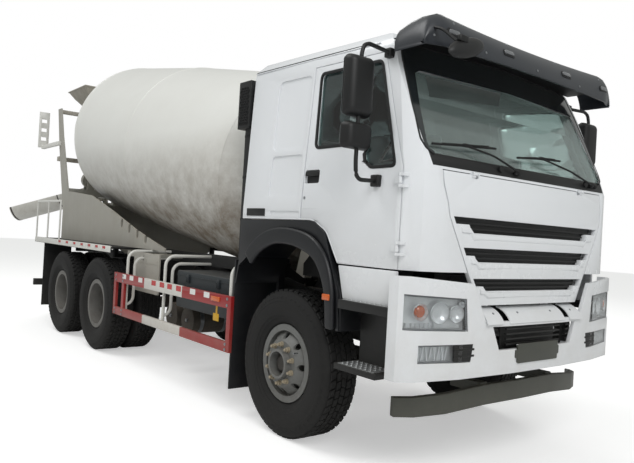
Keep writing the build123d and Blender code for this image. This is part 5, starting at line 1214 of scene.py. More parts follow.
class TRUCK_OT_side_mirrors(bpy.types.Operator):
    """Rounded mirror housings on bent tubes, with their glass facing back"""
    bl_idname = "truck.side_mirrors"
    bl_label = "Side mirrors"

    def execute(self, context):
        sizes = context.scene.truck_cab
        bodies = ("door_right", "door_left")
        housings, glasses = [], []
        for middle, height in ((2468, 400), (2160, 170)):
            low = spot(940 - 46, -1370 - 116, middle - height / 2)
            high = spot(940 + 46, -1370 + 116, middle + height / 2)
            housing = block("mirror_housing", low, high)
            choose_faces(housing, lambda middle, normal: normal.x > 0.9)
            bpy.ops.transform.resize(value=(1, 0.80, 0.88))
            close_piece()
            housings.append(eased(housing, sizes.mirror_ease * (1 if height > 200 else 0.8), 5, 20))
            face = plate("mirror_glass", [spot(893.2, -1370 + y, middle + z) for y,
                z in oblong(-98, 20 - height / 2, 98, height / 2 - 20)], 0.022, FORWARD * -0.0012)
            glasses.append(face)
        arm = rod("mirror_arm", [spot(905, -1080, 2745), spot(935, -1330, 2752), spot(940, -1366, 2700),
            spot(940, -1366, 1975), spot(940, -1352, 1892), spot(940, -1150, 1900)], 0.0135, 0.045, 12)
        feet = [block("mirror_foot", spot(870, -1110, 2715), spot(925, -1050, 2775)),
            block("mirror_foot", spot(905, -1205, 1862), spot(975, -1140, 1938))]
        arms = joined("mirror_arms", [arm, *[eased(foot, 0.008, 3) for foot in feet]])
        right, left = both_sides(arms, "", "black_plastic", 40, bodies)
        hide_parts("door_fittings_right")
        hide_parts("door_fittings_left")
        both_sides(joined("mirror_housings", housings), "", "black_plastic", 50, bodies)
        both_sides(joined("mirror_faces", glasses), "", "mirror_glass", 30, bodies)
        return {"FINISHED"}


class TRUCK_OT_visor(bpy.types.Operator):
    """Sun visor with its screws, marker lamps and the front mirror's face"""
    bl_idname = "truck.visor"
    bl_label = "Sun visor"

    def execute(self, context):
        clear_selection()
        bpy.ops.mesh.primitive_grid_add(x_subdivisions=56, y_subdivisions=16)
        visor = bpy.context.object
        visor.name = "visor_shell"
        for number, corner in enumerate(visor.data.vertices):
            corner.co = visor_place(sin((number % 57 / 28 - 1) * pi / 2), number // 57 / 16)
        tidy_normals(visor)
        worked(visor, "SOLIDIFY", thickness=0.014, offset=-1)
        fitted(eased(visor, 0.004, 2, 50), "cab", "visor_plastic", 50, ("visor",))
        mirror = turned("front_mirror", [(0.022, 0), (0.020, 0.08), (0.012, 0.145), (0.0, 0.180),
            (-0.012, 0.188), (-0.020, 0.180), (-0.016, 0.150), (-0.016, 0)], Vector(), FORWARD, 48)
        out, wide = Vector((0.97, 0, 0.243)), Vector((-0.085, 0.937, 0.34)).normalized()
        tall = out.cross(wide).normalized()
        mirror.data.transform(Matrix.Translation(spot(1440, -967, 2705)) @ Matrix((out, wide,
            tall * 0.33)).transposed().to_4x4())
        stalk = rod("front_mirror_stalk", [spot(1255, -1065, 2842), spot(1330, -1075, 2812),
            spot(1432, -1065, 2722)], 0.009, 0.03, 12)
        knob = block("front_mirror_knob", spot(1430, -1065, 2722), spot(1462, -985, 2762))
        roof = [(905, 1060), (1180, 1060), (1225, 700), (1240, 0)]
        tray = slab("visor_tray", [spot(station, y, 2842) for station,
            y in roof] + [spot(station, -y, 2842) for station, y in roof[-2::-1]], UP * 0.006)
        fitted(tray, "cab", "black_plastic")
        fitted(joined("front_mirror", [mirror, stalk, eased(knob, 0.010, 3)]), "cab",
            "black_plastic", 45)
        way = Vector((0.96, 0, 0.28))
        screws = [dot("visor_screw", on_visor(y, z, 0.5), way, 0.0085, 0.004, 0.3, 12) for y,
            z in ((-1040, 2790), (-617, 2779), (-41, 2778), (535, 2778), (1040, 2790), (-900, 2905),
            (900, 2905), (-300, 2915), (300, 2915))]
        fitted(joined("visor_screws", screws), "cab", "zinc")
        lamps, rims = [], []
        for y in (-925, -360, 360, 925):
            foot = [on_visor(y + dy, z, 0) for dy, z in ((-52, 2818), (52, 2818), (46, 2846),
                (-46, 2846))]
            lamps.append(plate("visor_lamp", foot, 0.010, way * 0.013, 0.004))
            rim = [on_visor(y + dy, z, -1) for dy, z in ((-62, 2808), (62, 2808), (54, 2854),
                (-54, 2854))]
            rims.append(plate("visor_lamp_rim", rim, 0.014, way * 0.006, 0.002))
        fitted(joined("visor_lamps", lamps), "cab", "lens_smoke", 40)
        fitted(joined("visor_lamp_rims", rims), "cab", "black_plastic", 40)
        return {"FINISHED"}


class TRUCK_OT_wipers(bpy.types.Operator):
    """Windscreen seal, cowl caps and the two wipers"""
    bl_idname = "truck.wipers"
    bl_label = "Windscreen trim"

    def execute(self, context):
        sizes = context.scene.truck_cab
        glass = leaned(merged_copy("windscreen", "windscreen_pane"))
        fitted(glass, "cab", "screen_glass", 30, ("windscreen",))
        cowl = leaned(dressed("wiper_cowl", "cowl_panel", 0.003, 2))
        fitted(cowl, "cab", "black_plastic", 34, ("wiper_cowl",))
        # Outer and inner edge of the dark border round the glass, its top band up to the visor painted
        # shade: across and height
        border = [((1008, 2074), (1000, 2092)), ((1062, 2100), (1040, 2108)),
            ((1092, 2160), (1052, 2150)), ((1100, 2400), (1034, 2400)), ((1092, 2640), (1006, 2624)),
            ((1078, 2760), (960, 2648)), ((1060, 2838), (900, 2650)), ((0, 2838), (0, 2655))]
        pairs = border + [((-a, b), (-c, d)) for (a, b), (c, d) in border[-2::-1]]
        edge = strip("screen_band_and_visor_shade", [on_front(*outer, 1) for outer, inner in pairs],
            [on_front(*inner, 1) for outer, inner in pairs], FORWARD * 0.003)
        fitted(edge, "cab", "glass_border", 40)
        seal = rod("screen_seal", [on_front(*outer, 1) for outer, inner in pairs], 0.006, 0.02, 8)
        fitted(seal, "cab", "seal_rubber")
        caps = [dot("cowl_cap", on_front(y, z, 2), FORWARD, radius / 1000, 0.020, 0.35, 24) for y, z,
            radius in ((-345, 2052, 24), (-180, 2040, 15), (770, 2052, 24), (915, 2045, 15))]
        fitted(joined("cowl_caps", caps), "cab", "seal_rubber", 45)
        # Pivot, elbow, blade's middle and the blade's two ends: across and height
        wipers = (("right", (-150, 2044), (-430, 2130), (-700, 2166), ((-1020, 2140), (-360, 2192))),
            ("left", (845, 2050), (560, 2128), (190, 2186), ((-120, 2158), (470, 2202))),)
        for name, pivot, elbow, middle, ends in wipers:
            base = dot("wiper_pivot", on_front(*pivot, 4), FORWARD, 0.020, 0.030, 0.3, 20)
            arm = rod("wiper_arm", [on_front(*pivot, 26), on_front(*elbow, 34), on_front(*middle, 28)],
                0.0075, 0.04, 8)
            blade = rod("wiper_blade", [on_front(*ends[0], 14), on_front(*middle, 20),
                on_front(*ends[1], 14)], sizes.wiper_width / 2, 0.05, 8)
            spine = rod("wiper_spine", [on_front(ends[0][0] + 90, ends[0][1] + 12, 22),
                on_front(middle[0], middle[1] + 5, 33), on_front(ends[1][0] - 90, ends[1][1] + 3, 22)],
                0.005, 0.03, 8)
            clip = block("wiper_clip", on_front(middle[0] - 24, middle[1] - 10, 14),
                on_front(middle[0] + 24, middle[1] + 14, 38))
            wiper = joined(f"wiper_{name}", [base, arm, blade, spine, eased(clip, 0.004, 2)])
            fitted(wiper, "cab", "seal_rubber", 45)
        return {"FINISHED"}


LEDGE_DEPTH = 46
# Grille slots: top, outer bottom, middle bottom, outer half width and middle half width, in millimetres
GRILLE_SLOTS = ((1700, 1655, 1603, 868, 690), (1508, 1458, 1418, 762, 625), (1312, 1262, 1232, 655, 525))


class TRUCK_OT_grille(bpy.types.Operator):
    """Front panel with its slots, the ledges below them and the dark ribs behind"""
    bl_idname = "truck.grille"
    bl_label = "Grille"

    def execute(self, context):
        restyled("front_panel", "front_panel_skin", 0.007, 3, "front_panel", "cab_enamel",
            30)
        ledges, ribs = [], []
        for top, outer_bottom, middle_bottom, outer_half, middle_half in GRILLE_SLOTS:
            line = [(-outer_half + 62, outer_bottom), (-middle_half - 34, outer_bottom),
                (-middle_half + 4, middle_bottom), (middle_half - 4, middle_bottom),
                (middle_half + 34, outer_bottom), (outer_half - 62, outer_bottom)]
            lower = [(y * 0.985, z - LEDGE_DEPTH) for y, z in reversed(line)]
            ledge = laid_out("grille_ledge", [on_front(y, z - 6, -2) for y, z in line + lower])
            drawn_out(ledge, FORWARD * 0.013)
            choose_faces(ledge, lambda middle, normal: normal.x > 0.8)
            bpy.ops.transform.resize(value=(1, 0.985, 0.62))
            close_piece()
            ledges.append(eased(ledge, 0.004, 3, 20))
            for share in (0.36, 0.72):
                height = top + (middle_bottom - top) * share
                reach = middle_half - 8 if share > 0.5 else outer_half - 40
                ribs.append(slab("grille_slat", [on_front(a, z, -40) for a,
                    z in oblong(-reach, height - 6, reach, height + 5)], FORWARD * 0.022))
        fitted(joined("grille_ledges", ledges), "front_panel", "cab_enamel", 35)
        fitted(joined("grille_ribs", ribs), "front_panel", "black_plastic", 30)
        return {"FINISHED"}


# The strip above the bumper is bent round the pivot of the tilting cab: station and height
CAB_PIVOT = (1250, 950)
STRIP_RADIUS = 179
HEADLAMP = ((735, 985), (1150, 998), (1215, 1000), (1215, 1215), (1150, 1211), (760, 1190))
FOG_LAMP = ((700, 790), (1120, 800), (1120, 910), (680, 905))


def round_pivot(radius, angle):
    """Station and height of a place on a circle round the cab's pivot."""
    return CAB_PIVOT[0] + radius * cos(radians(angle)), CAB_PIVOT[1] + radius * sin(radians(angle))


class TRUCK_OT_bumper(bpy.types.Operator):
    """Bumper with the curved strip above it, its intake grid, plate bracket and screws"""
    bl_idname = "truck.bumper"
    bl_label = "Bumper"

    def execute(self, context):
        restyled("bumper", "bumper_skin", 0.011, 3, "chassis", "cab_enamel", 30)
        arc = [round_pivot(radius, angle) for radius, angles in ((STRIP_RADIUS, range(24, 79, 6)),
            (172, range(78, 23, -6))) for angle in angles]
        strips = [slab("bumper_strip", [spot(station, low, height) for station, height in arc],
            Vector((0, (high - low) / 1000, 0))) for low, high in ((-575, -405), (-335, 335), (405, 575))]
        fitted(joined("bumper_strip", strips), "chassis", "cab_enamel", 40)
        station, height = round_pivot(STRIP_RADIUS, 50)
        screws = [dot("strip_screw", spot(station, y, height),
            Vector((cos(radians(50)), 0, sin(radians(50)))), 0.008, 0.004)
            for y in (-470, 470, -200, 200)]
        fitted(joined("strip_screws", screws), "chassis", "zinc")
        # The grid leaves two gaps, where the ears of the tilting cab swing through
        bars = []
        for height in (878, 912, 946, 980):
            reach = 424 + (height - 850) * 0.45
            for start, end in ((-reach, -415), (-325, 325), (415, reach)):
                bars.append(slab("intake_bar", [on_bumper(y, z, -44) for y,
                    z in oblong(start, height - 5, end, height + 5)], FORWARD * 0.016))
        for start, end in ((-520, -415), (-325, 325), (415, 520)):
            bars.append(plate("intake_back", [spot(1318, y, z) for y, z in oblong(start, 800, end, 1015)],
                0.02, FORWARD * 0.006))
        fitted(joined("intake_grid", bars), "chassis", "black_plastic")
        carrier = [plate("plate_carrier", [spot(front - 14, y, z) for y, z in outline], 0.012,
            FORWARD * 0.014, 0.002) for front, outline in ((1414, oblong(-262, 785, 262, 849)),
            (1416, oblong(-242, 752, 242, 882)))]
        fitted(joined("plate_carrier", carrier), "chassis", "underrun")
        return {"FINISHED"}


class TRUCK_OT_front_lamps(bpy.types.Operator):
    """Bright lamp bowls, indicators, bezels and fog lamp fins behind and around the lenses"""
    bl_idname = "truck.front_lamps"
    bl_label = "Front lamps"

    def execute(self, context):
        trays, bowls, bezels, fins = [], [], [], []
        for outline, depth in ((HEADLAMP, 56), (FOG_LAMP, 48)):
            tray = laid_out("lamp_tray", [on_bumper(-y, z, -depth) for y, z in outline])
            trays.append(drawn_out(tray, FORWARD * -0.006))
            bezels.append(band("lamp_bezel", [on_bumper(-y, z, -24) for y, z in outline], 0.018, 0.011,
                FORWARD * 0.012, 0.003))
        tilt = Vector((0.96, -0.28, 0)).normalized()
        for y, z, radius in ((820, 1092, 52), (948, 1100, 66), (1092, 1105, 50), (780, 1150, 18)):
            r = radius / 1000
            bowls.append(turned("lamp_bowl", [(-0.034, 0.0), (-0.032, r * 0.35), (-0.022, r * 0.72),
                (0.0, r * 0.97), (0.002, r), (-0.002, r + 0.004), (-0.026, r * 0.8), (-0.038, 0.0)],
                on_bumper(-y, z, -30), tilt, 36))
        bulb = turned("indicator_bulbs", [(-0.030, 0), (-0.030, 0.030), (-0.016, 0.036), (-0.004, 0.026),
            (0, 0)], on_bumper(-1092, 1108, -30), tilt, 28)
        for number in range(7):
            y = 985 + number * 32
            fins.append(slab("lamp_rib", [on_bumper(a, z, -52) for a,
                z in oblong(-y, 1012, -y - 3, 1040)], FORWARD * 0.016))
        for number in range(8):
            y = 885 + number * 30
            lean = 8 if number % 2 else -8
            bowls.append(slab("fog_rib", [on_bumper(-y + lean, 812, -44),
                on_bumper(-y - 7 + lean, 812, -44), on_bumper(-y - 7 - lean, 896, -44),
                on_bumper(-y - lean, 896, -44)], FORWARD * 0.014))
        lens = joined("lamp_bowls", trays + bowls + fins)
        both_sides(lens, "chassis", "lamp_chrome", 40)
        both_sides(bulb, "chassis", "lens_amber", 60)
        both_sides(joined("lamp_bezels", bezels), "chassis", "bezel_grey", 35)
        blank = laid_out("fog_blank", [on_bumper(-y, z, -5) for y,
            z in ((690, 796), (850, 800), (850, 908), (684, 903))])
        drawn_out(blank, FORWARD * 0.003)
        blades = [slab("fog_fin", [on_bumper(a, z, -4) for a, z in oblong(-672, z - 7, -850, z + 7)],
            FORWARD * 0.007) for z in (832, 872)]
        both_sides(joined("fog_fins", [blank, *[eased(b, 0.002, 2) for b in blades]]), "chassis",
            "black_plastic", 30)
        return {"FINISHED"}


class TRUCK_OT_steps(bpy.types.Operator):
    """Cab steps with aluminium treads"""
    bl_idname = "truck.steps"
    bl_label = "Steps"

    def execute(self, context):
        restyled("steps", "step_bodies", 0.010, 3, "chassis", "black_plastic", 34)
        restyled("step_fairings", "step_strips", 0.006, 3, "chassis", "cab_enamel", 34)
        treads = []
        for rear, front, top in ((712, 1140, 1120), (706, 1048, 700)):
            tread = plate("step_tread", [spot(s, y, top - 1) for s,
                y in oblong(rear, -1222, front, -1040)], 0.012, UP * 0.004, 0.001)
            cleat = turned("cleat", [(-0.002, 0), (-0.002, 0.013), (0.0045, 0.011), (0.0055, 0.007),
                (0.0035, 0.005), (0.0035, 0)], spot(rear + 30, -1200, top + 2), UP, 12)
            count = int((front - rear - 30) / 44)
            repeated(repeated(cleat, count, (0.044, 0, 0)), 4, (0, 0.045, 0))
            treads += [tread, cleat]
        both_sides(joined("step_treads", treads), "chassis", "tread_aluminium", 30)
        return {"FINISHED"}


class TRUCK_OT_arches(bpy.types.Operator):
    """Wheel arch panels with their rounded lip, splash walls and marker lamps"""
    bl_idname = "truck.arches"
    bl_label = "Wheel arches"

    def execute(self, context):
        arch = merged_copy("front_mudguards", "arch_panels")
        for side in (-1, 1):
            choose_faces(arch, lambda middle, normal,
                side=side: normal.y * side > 0.9 and middle.y * side > 1.22)
            bpy.ops.transform.translate(value=(0, -side * 0.034, 0))
            close_piece()
        eased(arch, 0.006, 2)
        fitted(arch, "chassis", "arch_plastic", 32, ("front_mudguards",))
        # Outer and inner edge of the bulging band round the wheel: station and height
        edges = [((640, 902), (560, 902)), ((622, 1130), (530, 1130)), ((570, 1310), (462, 1280)),
            ((480, 1440), (372, 1372)), ((340, 1530), (250, 1420)), ((150, 1570), (110, 1448)),
            ((-60, 1576), (-50, 1452)), ((-240, 1540), (-180, 1425)), ((-400, 1455), (-310, 1360)),
            ((-500, 1360), (-405, 1270))]
        outer, inner = [[spot(station, -1192, height) for station,
            height in curved([pair[side] for pair in edges])] for side in (0, 1)]
        lip = strip("arch_lip_bulge", outer, inner, ACROSS * -0.042)
        eased(lip, 0.036, 5, 40)
        both_sides(lip, "chassis", "arch_plastic", 60)
        # Splash wall on the inner side of the wheel arch, above the tyre
        wall = [(-390, 1190), (-390, 1290), (-290, 1385), (-50, 1438), (100, 1438), (250, 1400),
            (370, 1355), (470, 1265), (520, 1185)]
        splash = slab("arch_splash_wall", [spot(station, -702, height) for station, height in wall],
            ACROSS * 0.004)
        both_sides(splash, "chassis", "black_plastic")
        marker = block("arch_marker", spot(530, -1242, 1098), spot(606, -1200, 1140))
        both_sides(eased(marker, 0.006, 3), "chassis", "lens_amber", 50)
        return {"FINISHED"}


def puffed(piece, reach):
    """Fills a pad with air as sewn cloth fills, and keeps each point within its reach."""
    worked(piece, "REMESH", mode="VOXEL", voxel_size=0.006)
    before = [corner.co.copy() for corner in piece.data.vertices]
    hold(piece)
    cloth = piece.modifiers.new("Cloth", "CLOTH")
    cloth.settings.use_pressure = True
    cloth.settings.uniform_pressure_force = 4.0
    cloth.settings.effector_weights.gravity = 0.0
    cloth.settings.quality = 4
    for number in range(1, 21):
        bpy.context.scene.frame_set(number)
    bpy.ops.object.modifier_apply(modifier=cloth.name)
    bpy.context.scene.frame_set(1)
    for corner, start in zip(piece.data.vertices, before):
        shift = corner.co - start
        if shift.length > reach:
            corner.co = start + shift * (reach / shift.length)
    return worked(piece, "SMOOTH", iterations=3)


class TRUCK_OT_seats(bpy.types.Operator):
    """Two padded seats with head rests, and the eased dashboard"""
    bl_idname = "truck.seats"
    bl_label = "Seats and dashboard"

    def execute(self, context):
        restyled("dashboard", "dashboard_moulding", 0.010, 3, "cab", "dark_interior", 40)
        lean = turn_about(spot(-60, 0, 1880), ACROSS, radians(-9))
        for middle, side_name in ((-560, "right"), (560, "left")):
            pads = (("cushion", spot(-45, middle - 225, 1778), spot(438, middle + 225, 1888), None),
                ("backrest", spot(-128, middle - 222, 1896), spot(-22, middle + 222, 2420), lean),
                ("headrest", spot(-118, middle - 130, 2432), spot(-38, middle + 130, 2556), lean),)
            for name, low, high, turn in pads:
                pad = block(f"seat_{name}_{side_name}", low, high)
                eased(pad, 0.034, 4)
                puffed(pad, 0.012)
                if turn is not None:
                    pad.data.transform(turn)
                fitted(pad, "cab", "seat_cloth", 60, ("seats",)
                    if (name, side_name) == ("cushion", "right") else ())
            base = block(f"seat_base_{side_name}", spot(0, middle - 160, 1696),
                spot(360, middle + 160, 1776))
            pan = block("seat_pan", spot(-50, middle - 215, 1762), spot(430, middle + 215, 1782))
            posts = [rod("headrest_post", [spot(-80, middle + y, 2400), spot(-80, middle + y, 2445)],
                0.006, 0, 8) for y in (-60, 60)]
            for post in posts:
                post.data.transform(lean)
            seat = joined(f"seat_base_{side_name}", [eased(base, 0.012, 3), eased(pan, 0.006, 2), *posts])
            fitted(seat, "cab", "dark_interior", 34)
        return {"FINISHED"}


GUARD_Y = -1220


def sleeve(name, stations, heights, proud, ease=0.002):
    """A coat over the outer face of a side guard's bar."""
    (rear, front), (low, high) = stations, heights
    return eased(block(name, spot(rear, GUARD_Y - proud, low), spot(front, GUARD_Y + 30 + proud, high)),
        ease, 2)


def guard_tag(station, height, width, tall, proud):
    """A flat piece of tape on the outer face of a side guard."""
    outline = oblong(-width / 2, -tall / 2, width / 2, tall / 2)
    return plate("guard_tag", [spot(station + s, GUARD_Y - proud, height + z) for s, z in outline], 0.003,
        ACROSS * -0.0012)


class TRUCK_OT_side_guards(bpy.types.Operator):
    """Red and white side guards with reflective tape, on bent tube hoops"""
    bl_idname = "truck.side_guards"
    bl_label = "Side guards"

    def execute(self, context):
        sizes = context.scene.truck_body
        restyled("side_guards", "guard_bars", 0.0045, 3, "chassis", "guard_red", 34)
        whites = [sleeve("guard_white", (-2417, -1558), (879, 985), 0.8),
            sleeve("guard_white", (-2424, -1564), (514, 601), 0.8)]
        both_sides(joined("guard_white_coats", whites), "chassis", "guard_white", 34)
        pale = [guard_tag(s, 955, 100, 50, 0.4) for s in (-2951, -2751, -2515, -1347, -1085)]
        both_sides(joined("guard_pale_tape", pale), "chassis", "tape_white")
        red = [guard_tag(s, 955, 100, 50, 1.2) for s in (-2184, -1990, -1819, -1628)]
        both_sides(joined("guard_red_tape", red), "chassis", "tape_red")
        lamp = eased(block("guard_marker", spot(-992, -1232, 918), spot(-850, -1219, 960)), 0.005, 3)
        both_sides(lamp, "chassis", "lens_amber", 50)
        hanger = block("guard_tag_plate", spot(-997, -1196, 744), spot(-901, -1193, 809))
        strap = block("guard_tag_strap", spot(-962, -1192, 790), spot(-936, -1189, 886))
        both_sides(joined("guard_tag_plate", [eased(hanger, 0.001, 2), strap]), "chassis",
            "tag_yellow")
        screws = [dot("guard_bolt", spot(station, GUARD_Y, height), -ACROSS, 0.013, 0.007, 0.3, 12)
            for station in (-3180, -2980, -730) for height in (905, 958, 536, 580)]
        both_sides(joined("guard_bolts", screws), "chassis", "zinc")
        hoops = []
        for station in (-2980, -2030, -755):
            hoops.append(rod("hoop", [spot(station, -665, 1243), spot(station, -1173.7, 1243),
                spot(station, -1173.7, 515)], sizes.hoop_radius, 0.10, 16))
            hoops.append(rod("hoop", [spot(station, -665, 1165), spot(station, -1094, 1165),
                spot(station, -1094, 644), spot(station, -1175, 644)], sizes.hoop_radius, 0.09, 16))
        right = both_sides(joined("guard_hoops_bent", hoops), "chassis", "tube_enamel",
            50)[0]
        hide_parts("guard_hoops")
        return {"FINISHED"}


class TRUCK_OT_tanks(bpy.types.Operator):
    """Battery box, air tanks, fuel tank and skirts with lids, straps and seams"""
    bl_idname = "truck.tanks"
    bl_label = "Tanks and boxes"

    def execute(self, context):
        restyled("battery_box", "battery_case", 0.014, 4, "chassis", "battery_plastic",
            34)
        lid = [block("battery_lid_edge", spot(-1956, -1087, 1062), spot(-864, -1082, 1070))]
        for station in (-1700, -1120):
            lid.append(eased(block("battery_latch", spot(station - 22, -1096, 1000),
                spot(station + 22, -1080, 1082)), 0.004, 2))
            lid.append(rod("battery_latch_bar", [spot(station - 14, -1100, 1010),
                spot(station - 14, -1104, 1060), spot(station + 14, -1104, 1060),
                spot(station + 14, -1100, 1010)], 0.003, 0.006, 8))
        fitted(joined("battery_lid", lid), "chassis", "battery_plastic")
        restyled("air_tanks", "air_tank_shells", 0.030, 4, "chassis", "axle_iron", 40)
        straps = []
        for station in (-2330, -1970):
            for across in (-560, -830):
                centre = spot(station, across, 600)
                straps.append(turned("tank_strap", oblong(-0.020, 0.1352, 0.020, 0.1380), centre, ACROSS,
                    40))
            straps.append(turned("drain_plug", [(0, 0), (0, 0.018), (0.018, 0.018), (0.020, 0.014),
                (0.020, 0)], spot(station, -930, 600), -ACROSS, 6))
        fitted(joined("tank_straps", straps), "chassis", "zinc")
        restyled("fuel_tank", "fuel_tank_shell", 0.006, 2, "chassis", "tread_aluminium",
            40)
        bands = []
        for station in (-2330, -1860, -1400):
            corners = [spot(station, y, z) for y, z in ((1053.5, 620), (1053.5, 1035), (1026, 1098),
                (965, 1123.5), (520, 1123.5))]
            strap = laid_out("fuel_strap", corners + [point + Vector((0, -0.0035 if place < 2 else -0.002,
                0 if place < 2 else -0.003)) for place, point in reversed(list(enumerate(corners)))])
            bands.append(drawn_out(strap, FORWARD * 0.045))
        cap = turned("fuel_cap", [(0, 0), (0, 0.052), (0.012, 0.052), (0.014, 0.045), (0.040, 0.045),
            (0.044, 0.040), (0.044, 0)], spot(-1330, 720, 1119), UP, 28)
        fitted(joined("fuel_straps", bands + [cap]), "chassis", "seal_rubber")
        restyled("side_skirts", "skirt_plates", 0.003, 2, "chassis", "body_enamel", 30)
        trims = [block("skirt_seam", spot(-3230, -1003, 1108), spot(-2565, -999, 1117))]
        trims += [dot("skirt_bolt", spot(station, -1000, height), -ACROSS, 0.010, 0.005, 0.3, 12)
            for station in (-3200, -2900, -2600) for height in (820, 1085, 1150)]
        both_sides(joined("skirt_trim", trims), "chassis", "body_enamel")
        return {"FINISHED"}


class TRUCK_OT_air_intake(bpy.types.Operator):
    """Rounded air intake with its comb of cells, on a boxed duct"""
    bl_idname = "truck.air_intake"
    bl_label = "Air intake"

    def execute(self, context):
        sizes = context.scene.truck_body
        restyled("air_intake", "intake_housing", 0.016, 4, "chassis", "black_plastic",
            40)
        pitch = sizes.comb_pitch * 1000
        combs = []
        # Foot of the comb's face, the way across it and the way out of it
        for foot, across, out, columns in ((spot(-665, -1075, 2600), ACROSS, FORWARD, 4),
                (spot(-755, -1150, 2600), FORWARD, -ACROSS, 5)):
            ring = [(cos(radians(60 * n + 30)), sin(radians(60 * n + 30))) for n in range(6)]
            half = 0.58 * pitch / 1000
            start = foot - across * (columns - 1) / 2 * pitch / 1000 - UP * 0.156
            cell = laid_out("comb_cell", [start + across * x * half + UP * z * half for x, z in ring])
            choose_faces(cell)
            bpy.ops.mesh.inset(thickness=half * 0.22)
            bpy.ops.mesh.delete(type="FACE")
            close_piece()
            drawn_out(cell, out * 0.006)
            cell.data.transform(Matrix.Translation(out * -0.001))
            twin = copied(cell, "comb_cell", across * pitch / 2000 + UP * pitch * 0.866 / 1000)
            repeated(cell, columns, across * pitch / 1000)
            repeated(twin, columns - 1, across * pitch / 1000)
            combs.append(repeated(joined("comb_rows", [cell, twin]), 7, UP * pitch * 1.732 / 1000))
        fitted(joined("intake_comb", combs), "chassis", "seal_rubber")
        hoops = [block("duct_clip", spot(-798, -1102, z), spot(-712, -1038, z + 26))
            for z in (1330, 1620, 1980, 2330)]
        fitted(joined("duct_clips", [eased(hoop, 0.004, 2) for hoop in hoops]), "chassis",
            "seal_rubber")
        return {"FINISHED"}


# Distance along the drum's axis and its radius there, in metres
DRUM_LINE = ((0.0, 0.80), (0.38, 1.03), (2.60, 1.085), (4.55, 1.07), (5.80, 0.58))


class TRUCK_OT_drum_seams(bpy.types.Operator):
    """Weld seams round the drum, its hatch and the bolts of its drive flange"""
    bl_idname = "truck.drum_seams"
    bl_label = "Drum seams"

    def execute(self, context):
        sizes = context.scene.truck_body
        front = Vector(DRUM_FRONT)
        half = sizes.seam_width / 2
        seams = []
        for along in (0.012, 0.38, 2.60, 4.50, 5.19):
            profile = [(along + step, along_line(along + step, DRUM_LINE) + lift) for step,
                lift in ((-half, -0.004), (-half * 0.5, 0.0030), (0.0, 0.0042), (half * 0.5, 0.0030),
                (half, -0.004))]
            seams.append(turned("drum_seam", profile, front, DRUM_AXIS, 120))
        fitted(joined("drum_seams", seams), "drum", "drum", 60)
        radius = along_line(1.95, DRUM_LINE)
        hatch_axis = (UP - DRUM_AXIS * UP.dot(DRUM_AXIS)).normalized()
        sideways = DRUM_AXIS.cross(hatch_axis)
        hatch_way = (hatch_axis * cos(radians(34)) + sideways * sin(radians(34))).normalized()
        place = front + DRUM_AXIS * 1.95 + hatch_way * radius
        lid = turned("drum_hatch", [(-0.03, 0), (-0.03, 0.27), (-0.004, 0.27), (0.004, 0.262),
            (0.006, 0.20), (0.012, 0.19), (0.014, 0)], place, hatch_way, 48, DRUM_AXIS)
        bolts = turned("hatch_bolt", [(-0.004, 0), (-0.004, 0.014), (0.014, 0.014), (0.016, 0.010),
            (0.016, 0)], place + DRUM_AXIS * 0.235, hatch_way, 6)
        repeated_round(bolts, 12, place, hatch_way)
        fitted(joined("drum_hatch", [lid, bolts]), "drum", "drum", 34)
        flange = turned("drive_flange", [(-0.045, 0.0), (-0.045, 0.215), (-0.012, 0.228), (-0.004, 0.24),
            (0.002, 0.24), (0.002, 0.0)], front + DRUM_AXIS * 0.056, DRUM_AXIS, 48)
        bolt = turned("flange_bolt", [(-0.018, 0), (-0.018, 0.014), (0.0, 0.014), (0.0, 0)],
            front + DRUM_AXIS * 0.010 + hatch_axis * 0.185, DRUM_AXIS, 6)
        repeated_round(bolt, 16, front, DRUM_AXIS)
        fitted(joined("drive_flange", [flange, bolt]), "drum", "axle_iron", 34)
        return {"FINISHED"}


class TRUCK_OT_stands(bpy.types.Operator):
    """Rows of bolts along the frame, below the drum's stands"""
    bl_idname = "truck.stands"
    bl_label = "Drum stands"

    def execute(self, context):
        bolts = [dot("frame_bolt", spot(station, -432, height), -ACROSS, 0.014, 0.010, 0.3, 6)
            for station in range(-7000, -300, 420) for height in (985, 1075)]
        both_sides(joined("frame_bolts", bolts), "chassis", "axle_iron")
        return {"FINISHED"}


class TRUCK_OT_loading(bpy.types.Operator):
    """Hopper, funnel and chute with rolled rims, ribs and cement stains"""
    bl_idname = "truck.loading"
    bl_label = "Hopper and chute"

    def execute(self, context):
        restyled("hopper", "hopper_plates", 0.003, 2, "chassis", "cement_steel", 40)
        restyled("discharge_funnel", "funnel_plates", 0.003, 2, "chassis", "cement_steel",
            40)
        rims = []
        for height, rear, front, half, radius in ((3735, -7396, -6546, 594, 0.010),
                (2714, -7324, -6816, 424, 0.008)):
            loop = [spot(rear, -half, height), spot(front, -half, height), spot(front, half, height),
                spot(rear, half, height), spot(rear, -half + 1, height)]
            rims.append(rod("rolled_rim", loop, radius, 0.02, 10))
        fitted(joined("rolled_rims", rims), "chassis", "cement_steel", 50)
        restyled("chute", "chute_trough", 0.0025, 2, "chute", "chute_steel", 40)
        heading, slope = radians(225.5), radians(17)
        fall = Vector((cos(heading) * cos(slope), sin(heading) * cos(slope), -sin(slope)))
        pivot = spot(-6980, 0, 2200)
        level = fall.cross(UP).normalized()
        up = level.cross(fall).normalized()
        rims = []
        for along, width in ((1.655, 0.024), (-0.085, 0.020), (0.80, 0.018)):
            arc = []
            for radius in (0.2245, 0.2155):
                angles = range(-90, 91, 10) if radius > 0.22 else range(90, -91, -10)
                start = pivot + fall * (along - width / 2)
                arc += [start + (level * sin(radians(a)) - up * cos(radians(a))) * radius for a in angles]
            rims.append(slab("chute_rim", arc, fall * width))
        fitted(joined("chute_rims", rims), "chute", "axle_iron", 40)
        return {"FINISHED"}


